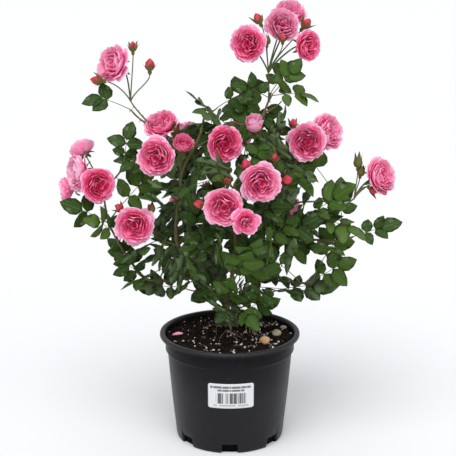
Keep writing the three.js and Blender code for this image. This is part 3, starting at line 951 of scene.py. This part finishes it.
TRIES = 60  # a leaf is the best of so many
WORST = -2.6  # and is left out if even that one scores less
CROWDED = 0.017  # distance over which leaflets push one another away
taken = np.zeros((0, 3))
leaves = []  # for each leaf: foot, direction, up, length, sag, and the number of its limb
spot_used = np.zeros(len(points), bool)
for node in [n for n in LEAFY if n not in CORE] + CORE:
    middle, half = middle_of(node), half_of(node)
    near = np.flatnonzero(np.linalg.norm((points - middle) / half, axis=1) < 0.95)
    if len(near) == 0:
        near = np.argsort(np.linalg.norm(points - middle, axis=1))[:6]
    wanted = LEAVES_IN_CORE if node in CORE else LEAVES_OUTSIDE * (half[0] * half[2] / SPRAY_AREA)
    wanted = int(round(wanted * FULLNESS.get(node, 1.0)))
    tips = shoot_tips[node]
    outward = 0.6 * unit((middle - CROWN_MIDDLE) * [1, 1, 0.5])
    # outlying sprays turn their leaves to the front or to the back
    show = np.array([0, -1.0 if middle[1] < 0.05 else 1.0, 0])
    for turn in range(max(wanted, len(tips))):
        at_tip = turn < len(tips)
        free = near[~spot_used[near]]
        k = np.full(TRIES, tips[turn]) if at_tip else rng.choice(free if len(free) > 3 else near, TRIES)
        out = unit((points[k] - middle) / half + outward + rng.normal(0, 0.5, (TRIES, 3)))
        # the leaf at the end of a shoot carries on its line; the others stand off theirs
        hold, lead = (0.35, 1.3) if at_tip else (1.0, 0.35)
        stray = rng.normal(0, 0.45 * (0.4 + 0.6 * hold), (TRIES, 3))
        way = unit(hold * out + lead * ways[k] + stray - 0.15 * UP)
        face = show if node not in CORE else unit(out + unit((middle - CROWN_MIDDLE) * [1, 1, 0.3]))
        lift = unit(face * 1.15 + UP * 0.55 + rng.normal(0, 0.25, (TRIES, 3)))
        size = rng.uniform(0.8, 1.1, TRIES) * LEAF_LONG
        sag = rng.uniform(0.03, 0.22, TRIES)
        at, heads, tilts, long = whole_leaves(points[k], way, lift, size, sag, rng)
        mids = at + heads * long[..., None] * 0.5
        ends = at + heads * long[..., None]
        over = np.clip(depth_in_crown(mids) - 0.98, 0, None).sum(1) + 40 * outside_box(ends).sum(1)
        hit = blocked(mids, 0.012).sum(1) + 0.7 * blocked(ends, 0.008).sum(1)
        hit = hit + 0.4 * blocked(at, 0.004).sum(1)
        gaps = np.sum((mids[:, :, None] - taken) ** 2, -1)
        crowd = np.exp(-gaps / (2 * CROWDED**2)).sum((1, 2))
        below = np.clip(0.235 + skirt_rise(mids) - mids[..., 2], 0, None).sum(1) * 20
        steep = np.clip(-way[:, 2] - 0.3, 0, None) * 3 + np.clip(-heads[..., 2] - 0.6, 0, None).sum(1) * 1.5
        score = -steep - 2.2 * over - 2.0 * hit - crowd * 0.55 - below + 0.3 * np.sum(way * out, -1)
        best = int(np.argmax(score))
        if score[best] < WORST:
            continue
        place = k[best]
        spot_used[place] = True
        taken = np.concatenate([taken, mids[best]])
        leaves.append((points[place], way[best], lift[best], size[best], sag[best], owners[place]))
base, along, lift, size, sag, hosts = (np.array(column) for column in zip(*leaves))
number = len(leaves)
at, heads, tilts, long = whole_leaves(base, along, lift, size, sag, rng)
leaflet_at, leaflet_long = at.reshape(-1, 3), long.ravel()
leaflet_way, leaflet_across, leaflet_above = frames_from(heads.reshape(-1, 3), tilts.reshape(-1, 3))
leaflet_middle = leaflet_at + leaflet_way * leaflet_long[:, None] * 0.5
leaflet_end = leaflet_at + leaflet_way * leaflet_long[:, None]
keep_leaflet = ~blocked(leaflet_middle, 0.009) & ~blocked(leaflet_end, 0.004) & ~blocked(leaflet_at, 0.0)
keep_leaflet &= leaflet_middle[:, 2] - leaflet_long * 0.3 > 0.222 + skirt_rise(leaflet_middle)
keep_leaflet &= outside_box(leaflet_end) < 0.009
# one leaf in seven has no lower pair
lower_pair = np.arange(number * PER_LEAF) % PER_LEAF < 2
keep_leaflet &= ~(lower_pair & np.repeat(rng.uniform(0, 1, number) < 0.15, PER_LEAF))
# a leaf goes altogether with fewer than three leaflets, without its end one, or if its stalk crosses a bloom
down_stalk = np.linspace(0, PAIR_AT[-1], 6)
stalks = base[:, None] + unit(along)[:, None] * (down_stalk * size[:, None])[..., None]
stalks = stalks - UP * (sag[:, None] * down_stalk**2 * size[:, None])[..., None]
enough = keep_leaflet.reshape(number, PER_LEAF).sum(1) >= 3
whole = enough & keep_leaflet[PER_LEAF - 1::PER_LEAF] & ~blocked(stalks, 0.0).any(1)
keep_leaflet &= np.repeat(whole, PER_LEAF)

# each leaf keeps one green
green_each = np.repeat(rng.choice(3, number, p=[0.42, 0.42, 0.16]), PER_LEAF)
pick = rng.integers(0, len(LEAFLETS), number * PER_LEAF)
underside = leaf_finish("leaf_underside", (0.1, 0.15, 0.065), 0.5)
for index, (name, green) in enumerate(GREENS.items()):
    chosen = np.flatnonzero(keep_leaflet & (green_each == index))
    part = copies(LEAFLETS, pick[chosen], leaflet_at[chosen], leaflet_way[chosen], leaflet_across[chosen],
                  leaflet_above[chosen], leaflet_long[chosen])
    which = np.concatenate([np.tile([0] * TOP_QUADS + [1] * LOW_QUADS, len(chosen)),
                            np.tile([0] * TOP_TRIS + [1] * LOW_TRIS, len(chosen))])
    piece("leaves_" + name, part, [leaf_finish("leaf_" + name, green), underside],
          LEAFY if index == 0 else (), which)
stalk_radii = np.tile([0.001, 0.0009, 0.0008, 0.0007, 0.00062, 0.0005], (whole.sum(), 1))
stem_parts = [tubes(stalks[whole], stalk_radii, 5, age=0.0)]

# ---------- flower stalks, canes, boughs and shoots ----------

stalk_from, stalk_leave = [], []
for foot, face, node, _ in flowers:
    if node in FORK_OF:
        stalk_from.append(forks[FORK_OF[node]])
        stalk_leave.append(UP * 0.8)
        continue
    aim = foot - face * 0.03 - UP * 0.03
    downhill = np.clip(points[:, 2] - foot[2] + 0.02, 0, None)
    nearest = int(np.argmin(np.linalg.norm(points - aim, axis=1) + 1.5 * downhill))
    stalk_from.append(points[nearest])
    stalk_leave.append(unit(ways[nearest] + 0.5 * UP))
stalk_from = np.array(stalk_from)
stalk_to, stalk_faces, _, thin = (np.array(column) for column in zip(*flowers))
far = np.linalg.norm(stalk_to - stalk_from, axis=1)[:, None]
leave = unit(np.array(stalk_leave) + unit(stalk_to - stalk_from)) * far
stalk_paths = arcs(stalk_from, stalk_to, leave, stalk_faces * np.minimum(far, 0.045), 10)
stem_parts.append(tubes(stalk_paths, thin[:, None] * np.linspace(1.3, 1, 10), 6, age=0.0))

# a limb's radius grows with the square root of what it carries; a shoot without leaves is left out
thick = np.clip(0.001 + 0.00062 * np.sqrt(limbs.loads), 0.0012, 0.0046)
leafed = set(hosts[whole])
shoots = np.array([i for i in range(limb_count, len(limbs.paths)) if i in leafed])
shoot_radii = thick[shoots][:, None] * np.linspace(1.1, 0.7, SHOOT_RINGS)
stem_parts.append(tubes(np.stack([limbs.paths[i] for i in shoots]), shoot_radii, 6, age=0.0))
# limbs: knobbed by a wave and by chance, and older the nearer they are to the ground
WOOD_RINGS, WOOD_SIDES = 34, 10
fine = np.linspace(0, RINGS - 1, WOOD_RINGS)
wood_parts = []
for i in range(limb_count):
    path = np.stack([np.interp(fine, np.arange(RINGS), limbs.paths[i][:, axis]) for axis in range(3)], 1)
    knobs = 1 + 0.05 * np.sin(fine * 5.1 + i) + 0.03 * rng.uniform(-1, 1, WOOD_RINGS)
    old = np.clip((0.36 - path[:, 2]) / 0.12, 0, 0.75)
    radii = thick[i] * np.linspace(1.12, 0.8, WOOD_RINGS) * knobs
    part = tubes(path[None], radii[None], WOOD_SIDES)
    part["marks"]["age"] = np.append(np.repeat(old, WOOD_SIDES), [old[0], old[-1]])
    wood_parts.append(part)

# prickles: small cones that stand square to the limb and hook down
PRICKLE_LONG, PRICKLE_HOOK, PRICKLE_RADII = 0.0038, 0.002, [0.0011, 0.0008, 0.0004, 0.0001]
thorn_at, thorn_way = [], []
for i in range(limb_count):
    path = limbs.paths[i]
    way = unit(np.gradient(path, axis=0))
    for j in range(1, RINGS, 2):
        one, two = face_axes(way[j], rng.uniform(0, WHOLE_TURN))
        thorn_at.append(path[j] + one * thick[i] * 0.8)
        thorn_way.append(one)
hook = np.linspace(0, 1, len(PRICKLE_RADII))[None, :, None]
thorns = np.array(thorn_at)[:, None] + np.array(thorn_way)[:, None] * PRICKLE_LONG * hook
thorns = thorns - UP * PRICKLE_HOOK * hook**2
stem_parts.append(tubes(thorns, np.tile(PRICKLE_RADII, (len(thorns), 1)), 5, age=0.25))


def woody_foot():
    """The knobbly foot: a turned shape flared at the soil and lumped by three slow waves, closed on top."""
    low, high = foot_low[2] - 0.012, foot_high[2] + 0.006
    wide = (foot_high[0] - foot_low[0]) / 2
    t = np.linspace(0, 1, 14)[:, None]
    turn = turns(28)
    shoulder = np.sqrt(np.clip(1 - (np.clip(t - 0.72, 0, 1) / 0.3) ** 2, 0.02, 1))
    lumps = 1 + 0.09 * np.cos(3 * turn + 2 * t) + 0.06 * np.cos(5 * turn - 4 * t + 1)
    lumps = lumps + 0.03 * np.cos(11 * turn + 9 * t)
    r = wide * (0.74 + 0.3 * (1 - t) ** 2) * shoulder * lumps
    middle = np.array([FOOT[0], FOOT[1], 0])
    rings = round_rings(r, turn, mix(low, high, t)) + middle
    return lathe(rings, middle + [0, 0, low], middle + [0, 0, high + 0.001], age=(1.0, 1.0, 1.0))


stems = stem_finish("stem_green_and_bark")
piece("canes", joined(wood_parts + [woody_foot()]), [stems], CANES + ["stem_foot"])
piece("twigs", joined(stem_parts), [stems], BOUGHS)

petals = petal_finish("petal_pink")
half_way = len(petal_parts) // 2
piece("petals_left", joined(petal_parts[:half_way]), [petals], FLOWERY)
piece("petals_right", joined(petal_parts[half_way:]), [petals])
piece("buds", joined(bud_parts), [petals])
sepal_green = grain_finish("sepal_green", (0.075, 0.11, 0.02), (0.2, 0.15, 0.055), 45, 0.55, 0.0004)
piece("sepals", joined(green_parts), [sepal_green])

# ---------- pot ----------

pot_low, pot_high = corners("pot")
RIM = (pot_high[0] - pot_low[0]) / 2 + 0.0004
TALL = pot_high[2]
NOTCHES, NOTCH_HALF_TURN, NOTCH_HIGH = 7, 0.158, 0.0185
LIP = 0.008  # height of the lip's edge
FOOT_R, BODY_R, COLLAR_R = RIM - 0.0324, RIM - 0.0154, RIM - 0.0118
RECESS_R = FOOT_R - 0.0085
WALL_LOW, WALL_HIGH = 0.008, 0.1778
POT_FLOOR = 0.024  # height of the floor inside


def wall_radius(z):
    """Outside radius of the tapering wall at a height: straight from foot to collar, a hair fuller midway."""
    share = (z - WALL_LOW) / (WALL_HIGH - WALL_LOW)
    return mix(FOOT_R + 0.0006, BODY_R, share) + 0.0009 * np.sin(math.pi * share)


def pot_shell():
    """The pot as one closed turned surface. The profile runs from the middle of the underside out, up the
    wall, over the lip and down the inside. In seven arcs round the foot the underside steps up into a
    recess, which is a drainage opening; its back wall and ceiling get a near-black finish as painted shade."""
    turn = turns(42 * NOTCHES)
    beside = np.abs(((turn + math.pi / 2) * NOTCHES / (2 * math.pi) + 0.5) % 1 - 0.5) * 2 * math.pi / NOTCHES
    opening = np.clip((NOTCH_HALF_TURN - beside) / 0.008, 0, 1)
    high = NOTCH_HIGH * opening
    flat = np.zeros(len(turn))
    rings = [
        (flat + 0.0002, flat),
        (flat + 0.05, flat),
        (flat + 0.088, flat),
        (mix(0.1, RECESS_R - 0.0003, opening), flat),
        (mix(FOOT_R - 0.0045, RECESS_R, opening), high * 0.98),
        (mix(FOOT_R - 0.0035, FOOT_R - 0.0028, opening), np.maximum(high, 0.0003)),
        (mix(FOOT_R - 0.0012, FOOT_R - 0.0004, opening), np.maximum(high, 0.0012)),
        (mix(FOOT_R - 0.0002, FOOT_R + 0.0006, opening), np.maximum(high + 0.0006, 0.0034)),
        (flat + FOOT_R + 0.0008, np.maximum(high + 0.0025, WALL_LOW)),
    ]
    for share in np.linspace(0.11, 1, 14):
        z = mix(WALL_LOW, WALL_HIGH, share)
        rings.append((flat + wall_radius(z), flat + z))
    for r, z in [
        # the shoulder and the collar
        (BODY_R + 0.0003, 0.1788), (BODY_R + 0.0014, 0.1801), (COLLAR_R - 0.0012, 0.1815),
        (COLLAR_R + 0.0002, 0.1824), (COLLAR_R + 0.0008, 0.1836), (COLLAR_R + 0.0006, 0.1852),
        (COLLAR_R + 0.0007, 0.19), (COLLAR_R + 0.0014, 0.2), (COLLAR_R + 0.0018, TALL - LIP - 0.0012),
        # the lip, out and over
        (COLLAR_R + 0.0024, TALL - LIP), (RIM - 0.0024, TALL - LIP), (RIM - 0.0008, TALL - LIP + 0.0004),
        (RIM, TALL - LIP + 0.0018), (RIM, TALL - 0.0032), (RIM - 0.0006, TALL - 0.0015),
        (RIM - 0.002, TALL - 0.0004), (RIM - 0.0045, TALL), (RIM - 0.0078, TALL - 0.0002),
        (RIM - 0.0094, TALL - 0.0012), (RIM - 0.0104, TALL - 0.0032),
        # down the inside and in over the floor
        (RIM - 0.0112, 0.21), (RIM - 0.0128, 0.19), (RIM - 0.0136, 0.184), (RIM - 0.0174, 0.178),
        (RIM - 0.034, 0.03), (0.05, POT_FLOOR), (0.0002, POT_FLOOR),
    ]:
        rings.append((flat + r, flat + z))
    shell = np.stack([round_rings(r, turn, z) for r, z in rings])
    # the back wall and ceiling of each drain recess, with the flat underside in line with them: near-black
    # painted shade
    dark = np.repeat(np.isin(np.arange(len(shell) - 1), (3, 4)), len(turn))
    return lathe(shell, [0, 0, 0], [0, 0, POT_FLOOR]), np.append(dark, np.zeros(2 * len(turn)))


shell, which = pot_shell()
# near-black painted shade for the drain recesses, flecked dark brown for the soil in them
recess_painted_shade = grain_finish("drain_recess_painted_shade", (0.0008, 0.0007, 0.0006), (0.009, 0.006, 0.004),
                      300, 1.0, 0.001, (0.55, 0.8))
piece("pot_shell", shell, [pot_finish("black_pot_plastic"), recess_painted_shade], ["pot"], which)


STICKER_WIDE, STICKER_ASIDE, STICKER_CORNER = 0.090, 0.0022, 0.0035


def label_plate():
    """The sticker: a rounded rectangle wrapped on the tapering wall. A square grid is pulled in at its
    corners, each point then lies at the wall's radius for its height plus the sticker's thickness, and a
    second skin behind it closes the plate at its edge."""
    low, high = corners("label")
    rows, cols = 25, 41
    u, v = np.linspace(0, 1, cols)[None], np.linspace(0, 1, rows)[:, None]
    wide, tall, corner = STICKER_WIDE, high[2] - low[2], STICKER_CORNER
    drop = np.clip(corner / tall - np.minimum(v, 1 - v), 0, None) * tall
    across = (u - 0.5) * (wide - 2 * (corner - np.sqrt(np.maximum(corner**2 - drop**2, 0))))
    up = low[2] + v * tall + 0 * u
    angle = (across + STICKER_ASIDE) / wall_radius(up) - math.pi / 2
    skins = [round_rings(wall_radius(up) + off, angle, up) for off in (0.00065, 0.0002)]
    edge = np.concatenate([
        np.arange(cols), np.arange(1, rows) * cols + cols - 1,
        np.arange(cols - 2, -1, -1) + (rows - 1) * cols, np.arange(rows - 2, 0, -1) * cols,
    ])
    after = np.roll(edge, -1)
    sides = np.stack([edge, edge + rows * cols, after + rows * cols, after], -1)
    uv = np.stack(np.broadcast_arrays(across / wide + 0.5, v), -1)
    front = grid_faces(rows, cols)
    faces = np.concatenate([front, front[:, ::-1] + rows * cols, sides])
    return shape(np.stack(skins), faces, None, np.stack([uv, uv]))


piece("sticker", label_plate(), [label_finish("printed_sticker")], ["label"])

# ---------- potting mix ----------

SOIL_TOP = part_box("soil")[1][2]
SOIL_R = RIM - 0.0122
SOIL_LOW = 0.0255  # just above the pot's floor
SOIL_RISE = 0.0005


def soil_top(x, y):
    """Height of the loose surface: slow and quick waves at turned angles, each a third lower than the last,
    over a level that sinks a little at the wall."""
    total = SOIL_TOP + SOIL_RISE - 0.002 * (np.hypot(x, y) / SOIL_R) ** 8
    for k in range(7):
        c, s, wave = math.cos(1.3 * k + 3), math.sin(1.3 * k + 3), 34 * 1.75**k
        along, across = x * c + y * s, y * c - x * s
        total = total + 0.0026 * 0.66**k * np.sin(wave * along + 3 * k) * np.cos(wave * 0.8 * across + k)
    return total


def soil_body():
    """The potting mix: a flat bottom, a straight side up inside the wall, and rings of rough top surface."""
    turn = turns(150)
    r = SOIL_R * np.linspace(0.004, 1, 56)[::-1][:, None]
    top = round_rings(r, turn, soil_top(r * np.cos(turn), r * np.sin(turn)))
    radii = np.array([[0.0001], [RIM - 0.038], [RIM - 0.0195], [RIM - 0.0142]])
    heights = np.array([[SOIL_LOW], [SOIL_LOW], [0.174], [0.188]])
    rings = np.concatenate([round_rings(radii, turn, heights), top])
    return lathe(rings, [0, 0, SOIL_LOW], [0, 0, float(soil_top(0.0, 0.0))])


def ball(rows, cols, shake):
    """A closed ball one in radius, whose rings of points are pushed in and out by shake."""
    t = np.linspace(0.12, 0.88, rows)[:, None] * math.pi
    turn = turns(cols)
    r = 1 + shake(t, turn)
    return lathe(round_rings(r * np.sin(t), turn, -r * np.cos(t)), [0, 0, -1], [0, 0, 1])


LUMP_KINDS = 6


def scattered(count, sizes, stretch, sink):
    """Lumps strewn evenly over the potting mix by area, each turned at random but more flat than upright, and
    sunk in by a share of its size."""
    r = SOIL_R * 0.985 * np.sqrt(rng.uniform(0, 1, count))
    turn = rng.uniform(0, 2 * math.pi, count)
    x, y = r * np.cos(turn), r * np.sin(turn)
    size = rng.uniform(*sizes, count)
    along = unit(rng.normal(size=(count, 3)) * [1, 1, 0.5])
    along, across, above = frames_from(along, rng.normal(size=(count, 3)) + [0, 0, 1.5])
    kinds = []
    for _ in range(LUMP_KINDS):
        lump = ball(4, 6, lambda t, turn: rng.uniform(-0.25, 0.25, (4, 6)))
        kinds.append({**lump, "points": lump["points"] * np.array(stretch) * rng.uniform(0.8, 1.2, 3)})
    middles = np.stack([x, y, soil_top(x, y) + size * sink], 1)
    return copies(kinds, rng.integers(0, LUMP_KINDS, count), middles, along, across, above, size)


dark_mix = grain_finish("potting_mix_dark", (0.002, 0.0015, 0.001), (0.02, 0.0125, 0.007),
                        210, 0.95, 0.002, (0.38, 0.72))
piece("potting_mix", soil_body(), [dark_mix], ["soil"])
piece("bark_chips", scattered(1400, (0.0012, 0.0045), (1.5, 0.8, 0.45), 0.15),
      [grain_finish("bark_chip_brown", (0.003, 0.002, 0.0014), (0.045, 0.026, 0.014),
                    130, 0.9, 0.001, (0.4, 0.8))])
piece("perlite_grains", scattered(150, (0.0009, 0.0029), (1, 0.9, 0.8), 0.55),
      [grain_finish("perlite_white", (0.5, 0.47, 0.4), (0.88, 0.87, 0.82), 250)])


# where a fan of roots starts, how many, their middle direction, its spread to each side, and their reach
ROOT_FANS = (
    ((0.036, 0.066), 8, -1.38, 0.3, 0.1),
    ((-0.02, 0.055), 5, -2.1, 0.45, 0.065),
    ((-0.012, 0.012), 6, -1.3, 0.8, 0.06),
)
STRAY_ROOTS = 34


def compass(angle):
    """The flat unit vectors at these angles."""
    return np.stack([np.cos(angle), np.sin(angle)], 1)


def fine_roots():
    """Roots that fan out over the mix from three places, with short ones strewn about: each bends by half a
    sine wave over its length and arches a little clear of the ground."""
    begin, end = [], []
    for place, count, aim, spread, reach in ROOT_FANS:
        angle = aim + rng.uniform(-spread, spread, count)
        start = np.array(place) + rng.normal(0, 0.005, (count, 2))
        begin.append(start)
        end.append(start + reach * rng.uniform(0.5, 1.1, (count, 1)) * compass(angle))
    angle = rng.uniform(0, WHOLE_TURN, STRAY_ROOTS)
    start = rng.uniform(-0.1, 0.1, (STRAY_ROOTS, 2))
    begin.append(start)
    end.append(start + rng.uniform(0.008, 0.024, (STRAY_ROOTS, 1)) * compass(angle))
    begin, end = np.concatenate(begin), np.concatenate(end)
    steps = np.linspace(0, 1, 8)[None, :, None]
    aside = (end - begin)[:, None, ::-1] * [-1, 1] * rng.uniform(-0.1, 0.1, (len(begin), 1, 1))
    flat_path = mix(begin[:, None], end[:, None], steps) + aside * np.sin(math.pi * steps)
    flat_path = flat_path[np.hypot(flat_path[..., 0], flat_path[..., 1]).max(1) < SOIL_R - 0.004]
    z = soil_top(flat_path[..., 0], flat_path[..., 1]) + 0.001 + 0.0015 * np.sin(math.pi * steps[..., 0])
    radii = np.tile(np.linspace(0.0007, 0.0003, 8), (len(flat_path), 1))
    return tubes(np.concatenate([flat_path, z[..., None]], -1), radii, 5)


root_tan = grain_finish("root_tan", (0.2, 0.12, 0.09), (0.62, 0.44, 0.38), 60)
piece("fine_roots", fine_roots(), [root_tan])


def pebble(x, y, size, stretch):
    """A smooth stone: a ball with two slow waves, stretched three ways, resting in the mix."""
    stone = ball(12, 18, lambda t, turn: 0.05 * np.cos(2 * turn + 3 * t) + 0.03 * np.cos(3 * turn - 2 * t))
    middle = [x, y, float(soil_top(x, y)) + size * stretch[2] * 0.5]
    return {**stone, "points": stone["points"] * np.array(stretch) * size + middle}


# a piece of one or more stones: place, size and stretch of each, then the finish
STONES = {
    "pebble_orange": ([(0.069, -0.044, 0.0102, (1.05, 0.95, 0.92))],
                      ("stone_orange", (0.6, 0.27, 0.11), (0.86, 0.58, 0.36), 120, 0.55)),
    "pebble_grey": ([(0.094, -0.012, 0.0092, (1.0, 0.95, 0.9))],
                    ("stone_grey_green", (0.24, 0.23, 0.13), (0.5, 0.47, 0.33), 120, 0.7)),
    "pebbles_small": ([(0.11, 0.042, 0.006, (1.2, 0.9, 0.7)), (-0.022, 0.092, 0.006, (1.3, 0.8, 0.6))],
                      ("stone_pale", (0.36, 0.28, 0.18), (0.58, 0.5, 0.38), 120, 0.8)),
}
for name, (stones, finish) in STONES.items():
    piece(name, joined([pebble(*stone) for stone in stones]), [grain_finish(*finish)])


def fallen_petal(x, y):
    """A petal on the mix: an oval sheet, cupped by the square of its width and length."""
    rows, cols = 8, 7
    t, a = np.linspace(0, 1, rows)[:, None], np.linspace(-1, 1, cols)[None]
    wide = 0.0085 * np.sin(math.pi * np.clip(t * 0.86 + 0.08, 0, 1)) ** 0.7
    z = 0.0045 * a**2 * np.sin(math.pi * t) + 0.012 * (t - 0.4) ** 2 + 0.0015
    points = np.stack(np.broadcast_arrays((t - 0.5) * 0.021 + 0 * a, a * wide, z), -1)
    points = points + [x, y, float(soil_top(x, y))]
    uv = np.stack(np.broadcast_arrays(a * 0.5 + 0.5, t), -1)
    # pale tone, palest at the raised side edges: partly the petal's own colour, partly a painted highlight
    tone = np.broadcast_to(0.6 + 0.3 * a**2, (rows, cols)).ravel()
    return shape(points, grid_faces(rows, cols), None, uv, tone=tone)


piece("petal_on_mix", fallen_petal(-0.104, -0.011), [petals])

# ---------- floor, light and camera ----------


def floor():
    """A wide round floor: rings of points whose radius grows by the same factor each time."""
    rows, cols = 15, 48
    rings = round_rings(0.05 * 1.6 ** np.arange(rows)[::-1][:, None], turns(cols), -0.0002)
    mesh = bpy.data.meshes.new("floor")
    inmost = list(range((rows - 1) * cols, rows * cols))
    faces = grid_faces(rows, cols, closed=True).tolist() + [inmost]
    mesh.from_pydata(rings.reshape(-1, 3).tolist(), [], faces)
    f = Finish("studio_floor_white", roughness=0.75)
    f.colour(f.blend(f.noise(3, 2), (0.87, 0.876, 0.884), (0.88, 0.886, 0.894)))
    mesh.materials.append(f.material)
    added("floor", mesh)


floor()


def soft_sun(name, azimuth, elevation, spread, strength):
    """A broad sun that shines from the given azimuth and elevation, as wide across as spread degrees."""
    data = bpy.data.lights.new(name, "SUN")
    data.angle = math.radians(spread)
    data.energy = strength
    added(name, data).rotation_euler = (math.radians(90 - elevation), 0, math.radians(azimuth))


soft_sun("key", azimuth=-20, elevation=58, spread=45, strength=1.72)
soft_sun("fill", azimuth=35, elevation=32, spread=60, strength=0.65)

SKY_COLOUR, SKY_STRENGTH = (0.955, 0.975, 1.0, 1), 0.625
world = bpy.data.worlds.new("studio")
bpy.context.scene.world = world
world.use_nodes = True
sky = world.node_tree.nodes["Background"]
sky.inputs["Color"].default_value = SKY_COLOUR
sky.inputs["Strength"].default_value = SKY_STRENGTH

CAMERA_ASIDE, CAMERA_AWAY, CAMERA_HIGH, CAMERA_DOWN = -0.0035, 2.2, 0.982, 14.1
SENSOR_WIDE, LENS_LONG = 36, 91.3
camera_data = bpy.data.cameras.new("camera")
camera_data.sensor_width = SENSOR_WIDE
camera_data.lens = LENS_LONG
camera = added("camera", camera_data)
camera.location = (CAMERA_ASIDE, -CAMERA_AWAY, CAMERA_HIGH)
camera.rotation_euler = (math.radians(90 - CAMERA_DOWN), 0, 0)
bpy.context.scene.camera = camera
bpy.context.scene.view_settings.view_transform = "Standard"
